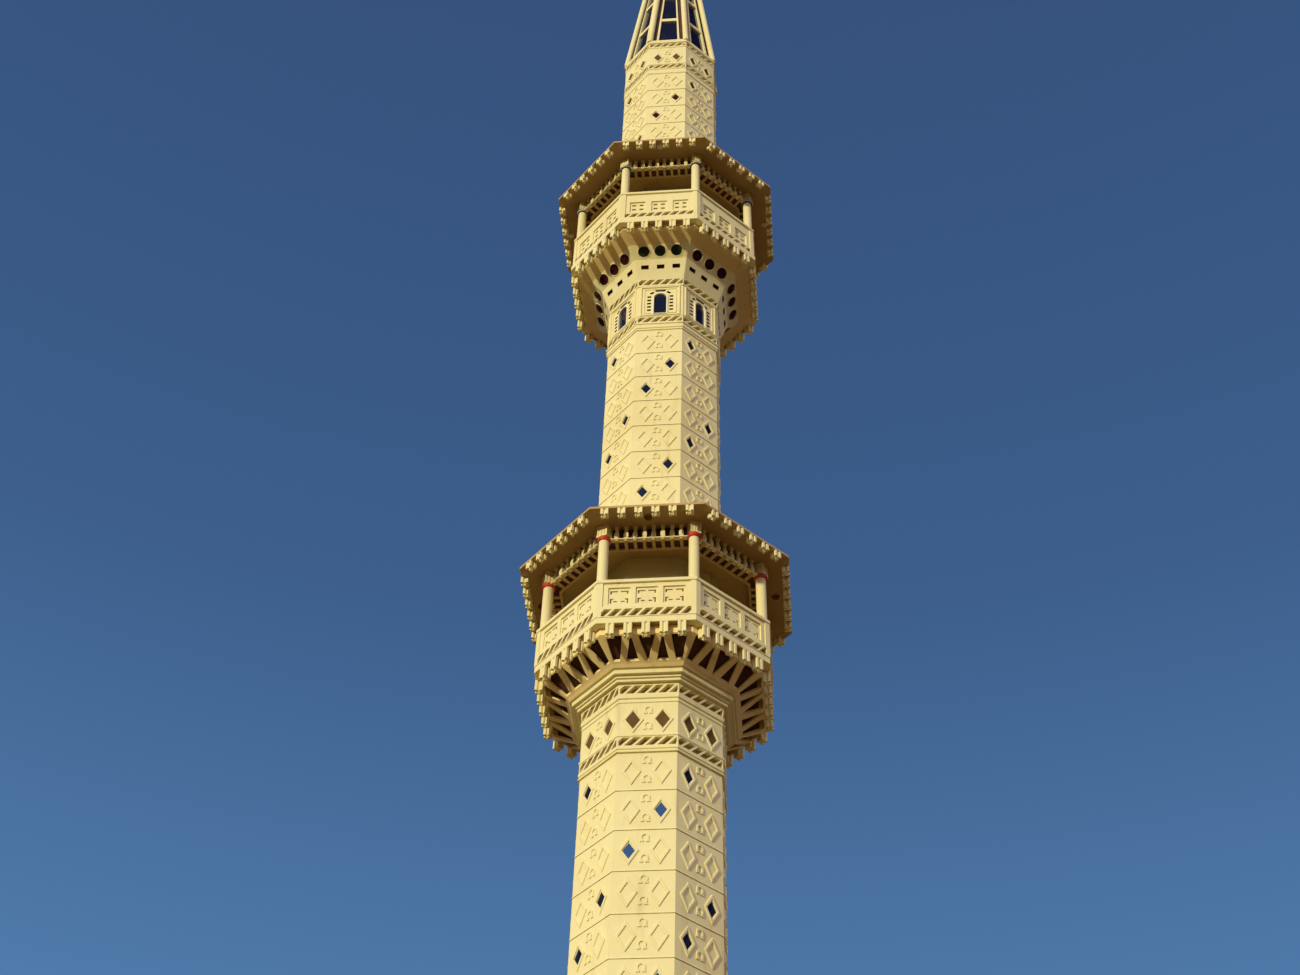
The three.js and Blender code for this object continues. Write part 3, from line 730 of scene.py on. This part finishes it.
# The moulded ring of a belt, with its ropes. Each band says how far out it stands, and its foot and head.
def beltRing(belt):
    section = [(out, up) for out, *ups in belt["bands"] for up in ups]
    ring = octagonRing([(wallInside, section[0][1]), *section, (wallInside, section[-1][1])])
    for out, low, high in belt["ropes"]:
        cutAway(ring, ropePockets(shaftRope, out, low, high, out * slope - cornerStrip))
    return ring


def dressBelt(name, belt):
    face, middle = belt["face"], belt["middle"]
    across = lozengeAcross(face)
    ring = beltRing(belt)
    hole = raiseSheet(lozengeOn(bore["start"], *belt["open"], middle), bore["deep"])
    cutAway(ring, roundFaces(joined(spread(hole, bothSides(across)))))
    ornament = blockOrnament(face, belt["blockTall"], belt["frame"])
    row = roundFaces(shifted(ornament, (0, 0, middle)))
    settle(joined([ring, row]), f"{name}_bands", name)
    # Dark brown boards inside the open lozenges: painted shade in the openings.
    boards = joined(spread(lozengePane(face, *belt["open"], hollowShadeBoard), bothSides(across, middle)))
    settle(roundFaces(boards), f"{name}_hollow_boards", slot="shaded_concrete")


dressBelt("lower_belt", lowerBelt)
dressBelt("top_belt", topBelt)


# Base: block joints, and a raised surround round the back doorway

baseLook = dict(
    out=0.940, course=0.483, courses=4, doorWide=0.400, doorLow=0.075, doorHigh=1.0, surround=0.042,
    surroundOut=0.016,
)


def dressBase():
    look, bar = baseLook, baseLook["surround"]
    wall = copyNode("base_wall")
    for face in range(faceCount):
        cutJoints(wall, face, {"top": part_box("base_wall")[1].z, **look})
    arch = archOn(look["out"] - embed, look["doorWide"] + 2 * bar, look["doorLow"] - bar, look["doorHigh"] + bar)
    surround = shifted(raiseSheet(arch, look["surroundOut"] + embed, bar=bar, soften=soft), turn=pi)
    settle(joined([wall, surround]), "base_wall_blocks", "base_wall")


dressBase()

# Each moulding of the cornice: how far out it stands, and its top. A golden slope leads on to the lattice. Its
# down-facing faces take the golden paint: partly their own colour, partly painted shade.
corniceSteps = [(0.778, 13.021), (0.818, 13.056), (0.839, 13.085), (0.879, 13.144)]
goldFoot = 0.906


def dressCornice():
    low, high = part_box("lower_cornice")
    section = [(wallInside, low.z)]
    foot = low.z
    for out, top in corniceSteps:
        section += [(out - fine, foot), (out, foot + fine), (out, top)]
        foot = top
    section += [(goldFoot, foot), (high.y, high.z), (wallInside, high.z)]
    ring = octagonRing(section)
    paintFaces(ring, goldAndShadePaint, lambda face: face.center.z > foot + 0.002 and face.normal.z < 0)
    settle(ring, "lower_cornice_mouldings", "lower_cornice")


dressCornice()


# Galleries: slab with drops, panelled parapet, colonnade, joists and canopy

# The lower gallery's lamps take the brown hollow boards as painted shade; the upper ones are white.
galleries = [
    {"name": "lower", "columnRing": 1.323, "rings": (redGloss, redGloss, redGloss), "panelWide": 0.240,
     "rope": (0.010, 0.112), "lampBack": 0.175, "lampPaint": hollowShadeBoard, "shaft": upperShaft},
    {"name": "upper", "columnRing": 1.309, "rings": (navyGloss, whiteGloss, navyGloss), "panelWide": 0.216,
     "rope": (0.060, 0.165), "lampBack": 0.115, "lampPaint": whiteGloss, "shaft": topShaft},
]
beamDown = 0.187  # from the soffit to the top of the beam


# What the frame says about a gallery, for all its pieces.
def galleryFacts(gallery):
    parapet, slab, canopy = (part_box(f"{gallery['name']}_{part}") for part in ("parapet", "floor_slab", "canopy"))
    gallery.update({
        "floor": parapet[0].z, "rail": parapet[1].z, "parapetOut": parapet[1].y - parapetLook["railOut"],
        "slabOut": slab[1].y, "slabBottom": slab[0].z, "soffit": canopy[0].z, "canopyOut": canopy[1].y,
        "canopyTop": canopy[1].z, "inner": gallery["shaft"]["out"] + hair, "beamTop": canopy[0].z - beamDown,
        "beamMid": gallery["columnRing"] / toCorner,
    })


dropLook = dict(
    flat=0.30, groove=0.24, knob=((-0.004, 0.36), (-0.010, 0.80), (-0.0048, 1.6), (-0.0112, 0.40)),
)  # each step and its scale


# Square drop with a deep groove down each side and a small knob under it, its top at the origin.
def dropOn(drop):
    edge = drop["wide"] / 2
    flat, valley = (edge * (1 - 2 * dropLook[part]) for part in ("flat", "groove"))
    side = [(edge, edge), (flat, edge), (0, valley), (-flat, edge)]
    plan = []
    for _ in range(4):
        plan += side
        side = [(-v, u) for u, v in side]
    bpy.ops.mesh.primitive_circle_add(vertices=len(plan), radius=edge, fill_type="NGON")
    piece = taken(creamPaint)
    for point, (u, v) in zip(piece.data.vertices, plan):
        point.co = (u, v, 0)
    return stepped(piece, [(-drop["tall"], 1.0), *dropLook["knob"]])


# Drops in a row on each face, flush with the edge that they hang under.
def hungDrops(drop, out, under):
    hung = shifted(dropOn(drop), (0, -out + drop["wide"] / 2, under))
    return roundFaces(inRow(hung, drop["count"], drop["pitch"]))


slabDrop = dict(wide=0.0875, tall=0.147, pitch=0.193, count=5, strip=0.012)
cofferLook = dict(deep=0.064, tall=0.040, back=0.046, rib=0.012)


def dressSlab(gallery):
    look, coffer, name = slabDrop, cofferLook, gallery["name"]
    out, inner, top, bottom = gallery["slabOut"], gallery["inner"], gallery["floor"] - hair, gallery["slabBottom"]
    under = bottom - look["strip"]
    back = out - look["wide"]
    ring = octagonRing([(inner, bottom), (back, bottom), (back, under), (out - soft, under), (out, under + soft),
                        (out, top), (inner, top)])
    # The coffers between the drops are cut with the brown soffit paint: painted shade.
    hollow = addBox(look["pitch"] - look["wide"] - coffer["rib"], coffer["deep"], coffer["tall"],
                    (0, -out + coffer["back"], under), soffitShadePaint)
    cutAway(ring, roundFaces(inRow(hollow, look["count"] - 1, look["pitch"])))
    settle(joined([ring, hungDrops(look, out, under)]), f"{name}_slab_with_drops",
           f"{name}_floor_slab", f"{name}_slab_drops")


parapetLook = dict(
    thick=0.046, rail=0.048, railOut=0.012, railLip=0.010, railIn=0.010, railSoft=0.006,
    post=0.062, kerb=0.150, field=0.014, recess=0.018, slotDeep=0.016, layer=0.001,
    panelPitch=0.300, panelLift=0.196, panelTall=0.246,
)
parapetRope = dict(wide=0.081, pitch=0.113, count=11, lean=0.80, deep=0.042, shift=0.0)
ropeOver = 0.008  # how far a parapet's rope runs past its panels
keySlot = 0.018

# The sunk slots of the panels: across, up, width and height from a panel's middle.
# The lower ones are broken key corners, cut lying bars first, and the upper ones two by two small windows.
panelSlots = {
    "lower": [
        [(0.058, 0.079, 0.085, keySlot), (0.082, -0.034, 0.038, keySlot), (0.041, -0.070, 0.042, keySlot)],
        [(0.090, 0.060, keySlot, 0.040), (0.091, -0.068, keySlot, 0.056)],
    ],
    "upper": [[(0.052, 0.061, 0.056, 0.036), (0.052, -0.037, 0.056, 0.036)]],
}


def dressParapet(gallery):
    look, name = parapetLook, gallery["name"]
    floor, rail, out = gallery["floor"], gallery["rail"], gallery["parapetOut"]
    back, proud, railLow = out - look["thick"], out + look["railOut"], rail - look["rail"]
    edge, railBack = proud + look["railLip"], back - look["railIn"]
    ring = octagonRing([
        (back, floor), (proud, floor), (proud, railLow), (edge - soft, railLow), (edge, railLow + soft),
        (edge, rail - look["railSoft"]), (edge - look["railSoft"], rail), (railBack, rail), (railBack, railLow),
        (back, railLow),
    ])
    reach = proud * slope - look["post"]
    fieldLow = floor + look["kerb"]
    field = addBox(2 * reach, 2 * look["field"], railLow - fieldLow, (0, -proud, (railLow + fieldLow) / 2))
    cutAway(ring, roundFaces(field))
    middle = floor + look["panelLift"] + look["panelTall"] / 2
    panelFace = proud - look["field"]
    recess = addBox(gallery["panelWide"], 2 * look["recess"], look["panelTall"], (0, -panelFace, middle))
    cutAway(ring, roundFaces(inRow(recess, 3, look["panelPitch"])))
    slotFace = panelFace - look["recess"]
    for layer, bars in enumerate(panelSlots[name]):
        deep = look["slotDeep"] + look["layer"] * layer
        # The slots' floors take the olive recess paint: painted shade.
        slots = [pocket(wide, tall, deep, slotFace, i * look["panelPitch"] + side * across, middle + up,
                        creamPaint, recessShadePaint)
                 for i in (-1, 0, 1) for side in (-1, 1) for across, up, wide, tall in bars]
        cutAway(ring, roundFaces(joined(slots)))
    low, high = gallery["rope"]
    cutAway(ring, ropePockets(parapetRope, proud, floor + low, floor + high, reach + ropeOver))
    settle(ring, f"{name}_panelled_parapet", f"{name}_parapet")


columnLook = dict(
    radius=0.059, ringRadius=0.066, ringThick=0.012, ringBulge=0.003, ringPitch=0.018,
    ringUp=0.033, block=0.130, blockUp=0.058, groove=0.013, groovePitch=0.036,
    grooveDeep=0.008, grooveOver=0.02, grooveEnds=0.036,
)
beamLook = dict(tall=0.046, deep=0.060, plateTall=0.016, plateOut=0.030)


# Round column with three stacked rings and a square block that carries the canopy.
def columnOf(gallery):
    look, away, bottom = columnLook, -gallery["columnRing"], gallery["rail"]
    beamLow = gallery["beamTop"] - beamLook["tall"]
    blockLow = beamLow + look["blockUp"]
    height = blockLow - bottom
    parts = [addCylinder(24, look["radius"], height, (0, away, bottom + height / 2))]
    smooth(40)
    for i, paint in enumerate(gallery["rings"]):
        up = beamLow + look["ringUp"] + (i - 1) * look["ringPitch"]
        bulge = look["ringBulge"] if i == 1 else 0.0
        parts.append(addRing(look["ringRadius"] + bulge, look["ringThick"], 8, (0, away, up), paint))
    tall = gallery["soffit"] - blockLow
    middle = blockLow + tall / 2
    block = addBox(look["block"], look["block"], tall, (0, away, middle))
    groove = addBox(look["groove"], look["block"] + look["grooveOver"], tall - look["grooveEnds"],
                    (0, 0, middle))
    grooves = [shifted(copyOf(groove, (i * look["groovePitch"], 0, 0), turn), (0, away, 0))
               for i in (-1, 0, 1) for turn in (0, pi / 2)]
    discard(groove)
    core = look["block"] - 2 * look["grooveDeep"]
    parts += [cutAway(block, joined(grooves)), addBox(core, core, tall, (0, away, middle))]
    return joined(parts)


# A baluster's steps, each with its rise and its scale, below and above a neck that takes what height is left
balusterLook = dict(
    count=8, pitch=0.104, wide=0.048, neck=0.64, head=[(0.006, 2.0), (0.024, 1.0)],
    foot=[(0.010, 1.0), (0.006, 0.86), (0.016, 1.34), (0.036, 0.96), (0.034, 0.72)],
)


# Short post with a wider foot and head, its foot at the origin.
def balusterOf(tall):
    look = balusterLook
    left = tall - sum(step[0] for step in look["foot"] + look["head"])
    bpy.ops.mesh.primitive_plane_add(size=look["wide"])
    return stepped(taken(creamPaint), [*look["foot"], (left, look["neck"]), *look["head"]])


def dressColonnade(gallery):
    look, name, beamTop, beamMid = beamLook, gallery["name"], gallery["beamTop"], gallery["beamMid"]
    low, out, inner = beamTop - look["plateTall"], beamMid + look["plateOut"], beamMid - look["deep"] / 2
    beam = octagonRing([
        (inner, low), (out - fine, low), (out, low + fine), (out, beamTop - fine), (out - fine, beamTop),
        (inner, beamTop),
    ])
    post = shifted(balusterOf(gallery["soffit"] - beamTop), (0, -beamMid, beamTop))
    balusters = roundFaces(inRow(post, balusterLook["count"], balusterLook["pitch"]))
    columns = roundFaces(columnOf(gallery), halves=1)
    settle(joined([columns, beam, balusters]), f"{name}_columns_and_beam", f"{name}_colonnade")


joistLook = dict(wide=0.036, reach=0.150, tie=0.026, tieOver=0.006, board=0.012, boardGap=0.0005)


# Joists under the beam plate and a tie along their inner ends, both brown as painted shade, and dark boards above
# them and behind the balusters that are painted shade.
def dressJoists(gallery):
    look, name, beamTop = joistLook, gallery["name"], gallery["beamTop"]
    outer = gallery["beamMid"] + beamLook["deep"] / 2 - soft
    top, low = beamTop - beamLook["plateTall"] - hair, beamTop - beamLook["tall"]
    joist = addBox(look["wide"], look["reach"], top - low, (0, -(outer - look["reach"] / 2), (top + low) / 2),
                   soffitShadePaint)
    joists = roundFaces(inRow(chamfer(joist, soft), balusterLook["count"], balusterLook["pitch"]))
    tieOut = outer - look["reach"] + look["tieOver"]
    tieIn = tieOut - look["tie"]
    tie = octagonRing([(tieIn, low), (tieOut, low), (tieOut, top), (tieIn, top)], soffitShadePaint)
    settle(joined([tie, joists]), f"{name}_joists_and_tie", f"{name}_joists", slot="shaded_concrete")
    front = gallery["beamMid"] - beamLook["deep"] / 2 - hair
    thick, low, high = look["board"], top + look["boardGap"], gallery["soffit"] - look["boardGap"]
    boards = octagonRing([(tieIn, low), (front, low), (front, high), (front - thick, high),
                          (front - thick, low + thick), (tieIn, low + thick)], shadeLining)
    settle(boards, f"{name}_joist_boards", slot="dark_lining")


lampLook = dict(radius=0.044, tall=0.024, down=0.010, base=0.050, baseTall=0.012, bare=(1, 3, 5, 7))


# Round lamp under every other side of the canopy: a base disc in brown painted shade and a low dome in the
# gallery's lamp paint, which on the lower gallery is dark brown painted shade.
def lampOf(gallery):
    look, soffit, away = lampLook, gallery["soffit"], gallery["lampBack"] - gallery["canopyOut"]
    middle = soffit - look["down"]
    base = addCylinder(20, look["base"], look["baseTall"], (0, away, soffit - look["baseTall"] / 2), soffitShadePaint)
    chamfer(base, fine)
    bpy.ops.mesh.primitive_uv_sphere_add(segments=20, ring_count=10, radius=look["radius"],
                                         location=(0, away, middle))
    dome = taken(gallery["lampPaint"], (1, 1, look["tall"] / look["radius"]))
    startEdit(dome)
    cutPast((0, 0, middle), (0, 0, 1))
    endEdit()
    smooth(50)
    return joined([base, dome])


canopyDrop = dict(wide=0.0875, tall=0.085, pitch=0.191, count=6, strip=0.012)
canopyLook = dict(fascia=0.020, slopeUp=0.026, slopeIn=0.006)


def dressCanopy(gallery):
    look, name, out, soffit = canopyLook, gallery["name"], gallery["canopyOut"], gallery["soffit"]
    inner = gallery["inner"]
    under, back, fascia = soffit - canopyDrop["strip"], out - canopyDrop["wide"], soffit + look["fascia"]
    # The underside takes the brown soffit paint as painted shade; the faces that look up are cream.
    ring = octagonRing([
        (inner, soffit), (back, soffit), (back, under), (out - soft, under), (out, under + fine), (out, fascia),
        (out - look["slopeIn"], soffit + look["slopeUp"]), (inner, gallery["canopyTop"]),
    ], soffitShadePaint)
    paintFaces(ring, creamPaint, lambda face: face.normal.z > 0.1 and face.center.z > fascia)
    settle(joined([ring, hungDrops(canopyDrop, out, under)]), f"{name}_canopy_with_drops", f"{name}_canopy",
           f"{name}_canopy_drops", slot="shaded_concrete")
    settle(roundFaces(lampOf(gallery), skip=lampLook["bare"]), f"{name}_canopy_lamps", slot="shaded_concrete")


for gallery in galleries:
    galleryFacts(gallery)
    dressSlab(gallery)
    dressParapet(gallery)
    dressColonnade(gallery)
    dressJoists(gallery)
    dressCanopy(gallery)


# Window belt: arched windows with slotted surrounds in a double frame, between two rope bands

windowLook = dict(
    bands=[(0.742, 19.209, 19.236), (0.752, 19.244, 19.288), (0.744, 19.294, 19.318),
           (0.757, 19.326, 19.352), (0.742, 19.358, 19.486), (0.748, 19.490, 19.500),
           (0.740, 19.504, 20.152), (0.752, 20.158, 20.182), (0.748, 20.186), (0.766, 20.3017)],
    ropes=[(0.742, 19.376, 19.476), (0.757, 20.196, 20.290)],
    face=0.740, wide=0.167, low=19.535, tall=0.453, arch=0.023, archOut=0.016,
    overlap=0.0005, frameLow=19.506, frameHigh=20.148,
    frames=[(0.272, 0.022, 0.016), (0.222, 0.012, 0.009)],  # half width, bar and relief
    slotAcross=0.150, slotWide=0.052, slotTall=0.036, slotPitch=0.073, slotFirst=19.639,
    slotRows=5, slotDeep=0.045, cornerWide=0.060, cornerAcross=0.112, cornerUp=20.018,
    cornerLean=38, crownWide=0.140, crownUp=20.062, paneDeep=0.014, paneThick=0.010,
)


def dressWindowBelt():
    look, face, low, bar = windowLook, windowLook["face"], windowLook["low"], windowLook["arch"]
    high = low + look["tall"]

    # The slots take the dark brown boards on their sides and floors: painted shade.
    def slot(wide, across, up):
        return pocket(wide, look["slotTall"], look["slotDeep"], face, across, up, hollowShadeBoard)

    ring = beltRing(look)
    cutters = [raiseSheet(archOn(bore["start"], look["wide"], low, high), bore["deep"])]
    for side in (-1, 1):
        cutters += [slot(look["slotWide"], side * look["slotAcross"], look["slotFirst"] + row * look["slotPitch"])
                    for row in range(look["slotRows"])]
        corner = slot(look["cornerWide"], 0, 0)
        lean = Matrix.Rotation(side * radians(look["cornerLean"]), 4, "Y")
        corner.data.transform(Matrix.Translation((side * look["cornerAcross"], 0, look["cornerUp"])) @ lean)
        cutters.append(corner)
    cutters.append(slot(look["crownWide"], 0, look["crownUp"]))
    cutAway(ring, roundFaces(joined(cutters)))
    trim = [raiseSheet(archOn(face - embed, look["wide"] + 2 * bar, low - bar, high + bar),
                       look["archOut"] + embed, whitePaint, bar + look["overlap"], soft)]
    frameTall, widest = look["frameHigh"] - look["frameLow"], look["frames"][0][0]
    middle = (look["frameLow"] + look["frameHigh"]) / 2
    for half, width, proud in look["frames"]:
        sheet = sheetOn(face - embed, 2 * half, frameTall - 2 * (widest - half), middle)
        trim.append(raiseSheet(sheet, proud + embed, bar=width, soften=soft))
    settle(joined([ring, roundFaces(joined(trim))]), "window_belt_bands",
           "window_belt_foot", "window_belt_wall", "window_belt_head")
    sheet = archOn(face - look["paneDeep"] - look["paneThick"], look["wide"], low, high)
    settle(roundFaces(raiseSheet(sheet, look["paneThick"], paneGlass)), "window_panes", slot="dark_glass")


dressWindowBelt()


# Cove under the upper gallery: square slots below, round lights with raised rims above

coveLook = dict(
    circle=0.080, circlePitch=0.227, circleDeep=0.16, rim=0.008, rimOut=0.005, paneDeep=0.016,
    paneThick=0.008, slotWide=0.104, slotTall=0.067, slotUp=0.1985, slotPitch=0.216,
    slotOut=0.83, slotDeep=0.06, ledgeOut=0.873, ledge=20.643, ledgeDown=0.012,
    ledgeFace=0.008, ledgeLip=0.004, thick=0.044, thickHigh=0.062, ledgeBack=0.022,
    footBack=0.030,
)


def discAt(place, radius, thick, paint):
    disc = addCylinder(28, radius, thick, (0, 0, 0), paint)
    disc.data.transform(place)
    return disc


def dressCove():
    look = coveLook
    low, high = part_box("upper_cove")
    foot, head, out = low.z, high.z, high.y
    ledge, ledgeOut, thick, lip = look["ledge"], look["ledgeOut"], look["thick"], look["ledgeLip"]
    wall = topShaft["out"]
    ring = octagonRing([
        (wall + hair, foot), (wall + thick, foot), (ledgeOut - lip, ledge - look["ledgeDown"]),
        (ledgeOut + lip, ledge - look["ledgeFace"]), (ledgeOut + lip, ledge), (out, head),
        (out - look["thickHigh"], head), (ledgeOut - thick, ledge + look["ledgeBack"]),
        (wall + hair, foot + look["footBack"]),
    ])
    tilt = atan2(head - ledge, out - ledgeOut)
    middle = Matrix.Translation((0, -(ledgeOut + out) / 2, (ledge + head) / 2)) @ Matrix.Rotation(-tilt, 4, "X")
    cutters, rims, panes = [], [], []
    for i in (-1, 0, 1):
        place = middle @ Matrix.Translation((i * look["circlePitch"], 0, 0))
        cutters.append(discAt(place, look["circle"], look["circleDeep"], creamPaint))
        inside = place @ Matrix.Translation((0, 0, look["paneDeep"]))
        panes.append(discAt(inside, look["circle"], look["paneThick"], maroonGlass))
        rim = addRing(look["circle"] + look["rimOut"], look["rim"], 6, (0, 0, 0), creamPaint)
        rim.data.transform(place)
        rims.append(rim)
        # The square slots are near black on their sides and floors: painted shade.
        cutters.append(pocket(look["slotWide"], look["slotTall"], look["slotDeep"], look["slotOut"],
                              i * look["slotPitch"], foot + look["slotUp"], shadeLining, shadeLining))
    cutAway(ring, roundFaces(joined(cutters)))
    pane = joined(panes)
    frontPanes = copyOf(pane)
    frontPanes.data.materials[0] = greenGlass
    settle(joined([frontPanes, roundFaces(pane, skip=(0,))]), "cove_light_panes", slot="dark_glass")
    settle(joined([ring, roundFaces(joined(rims))]), "upper_cove_with_rims", "upper_cove")


dressCove()


# Spire: round ribs, dark strips of painted shade in the gaps between ribs and stiles, stiles and rungs over dark
# glass, with a collar

spireLook = dict(
    out=0.745, height=7.5, ribRadius=0.046, ribSink=0.018, ribEnds=0.02, sill=0.060,
    sillFace=0.046, sillSlope=0.012, sillDeep=0.105, collar=0.074, collarTall=0.06,
    collarSoft=0.006, rungs=3, rungPitch=0.985, rung=0.100, rungBack=0.006, rungGap=0.004,
    stand=0.034, stile=0.034, strip=0.052, stripStand=0.004, ladder=4.6, least=(0.002, 0.004),
    cover=0.062, glassGap=0.002, lift=0.0006,
)


# A tapering strip on one face of the spire: its left, right, place out and height, at its foot and at its head.
def spireStrip(foot, head, stand, paint):
    bar = addBox(1, 1, 1, (0, 0, 0), paint)
    for point in bar.data.vertices:
        left, right, out, z = head if point.co.z > 0 else foot
        front = stand if point.co.y < 0 else 0
        point.co = (right if point.co.x > 0 else left, -(out + front), z)
    bar.data.update()
    return bar


def dressSpire():
    look, side = spireLook, spireLook["out"]
    foot, top = (corner.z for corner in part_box("spire_frame"))
    ribRing = side * toCorner - look["ribRadius"] + look["ribSink"]
    sillTop = foot + look["sill"]

    def shrink(z):
        return 1 - (z - foot) / look["height"]

    def glassOut(z):
        return (ribRing * shrink(z) - look["ribRadius"] - look["glassGap"]) / toCorner + look["lift"]

    def edgeAt(z):
        return side * slope * shrink(z) - look["cover"]

    ribTop = top - look["ribEnds"]
    ribLow = foot + look["ribEnds"]
    run, rise = ribRing * (1 - shrink(ribTop)), ribTop - ribLow
    addCylinder(16, look["ribRadius"], hypot(run, rise), (0, run / 2 - ribRing, (ribLow + ribTop) / 2),
                turn=(-atan2(run, rise), 0, 0))
    smooth(40)
    ribs = roundFaces(bpy.context.object, halves=1)
    inner = side - look["sillDeep"]
    sill = octagonRing([(inner, foot), (side, foot), (side, foot + look["sillFace"]),
                        (side - look["sillSlope"], sillTop), (inner, sillTop)])
    collar = addCylinder(faceCount, look["collar"] * toCorner, look["collarTall"],
                         (0, 0, top - look["collarTall"] / 2), turn=(0, 0, halfFace))
    chamfer(collar, look["collarSoft"])
    parts, strips = [], []
    stile = (look["strip"] + look["stile"], look["strip"])
    for hand in (-1, 1):
        for ends, stand, paint, gather in ((stile, look["stand"], creamPaint, parts),
                                           ((look["strip"], 0.0), look["stripStand"], shadeLining, strips)):
            edges = []
            for z in (sillTop + hair, sillTop + look["ladder"]):
                near, far = (max(edgeAt(z) - end, least) for end, least in zip(ends, look["least"]))
                left, right = (near, far) if hand > 0 else (-far, -near)
                edges.append((left, right, glassOut(z), z))
            gather.append(spireStrip(*edges, stand, paint))
    for i in range(1, look["rungs"] + 1):
        edges = []
        for half in (-1, 1):
            z = foot + i * look["rungPitch"] + half * look["rung"] / 2
            reach = edgeAt(z) - look["strip"] - look["rungGap"]
            edges.append((-reach, reach, glassOut(z), z))
        parts.append(spireStrip(*edges, look["stand"] - look["rungBack"], creamPaint))
    settle(joined([ribs, sill, collar, roundFaces(joined(parts))]), "spire_ribs_and_rungs",
           "spire_frame")
    settle(roundFaces(joined(strips)), "spire_dark_strips", slot="dark_lining")


dressSpire()
finial = copyNode("finial", gilt)
smooth(50)
settle(finial, "gilt_finial", "finial", slot="gilt_metal")

# These keep their frame shapes, with a painted or glazed finish. The base floor takes the brown soffit paint, the
# upper soffit the golden paint, and the corbel lining and the cove glass the dark lining: painted shade.
for node, finish in (("base_cornice", creamPaint), ("base_floor", soffitShadePaint), ("upper_soffit", goldAndShadePaint),
                     ("lower_corbel_lattice", latticePaint), ("lower_corbel_lining", shadeLining),
                     ("window_glass", paneGlass), ("cove_glass", shadeLining), ("spire_glass", paneGlass)):
    nodes[node].material_slots[0].material = finish

setCamera()
setLight()
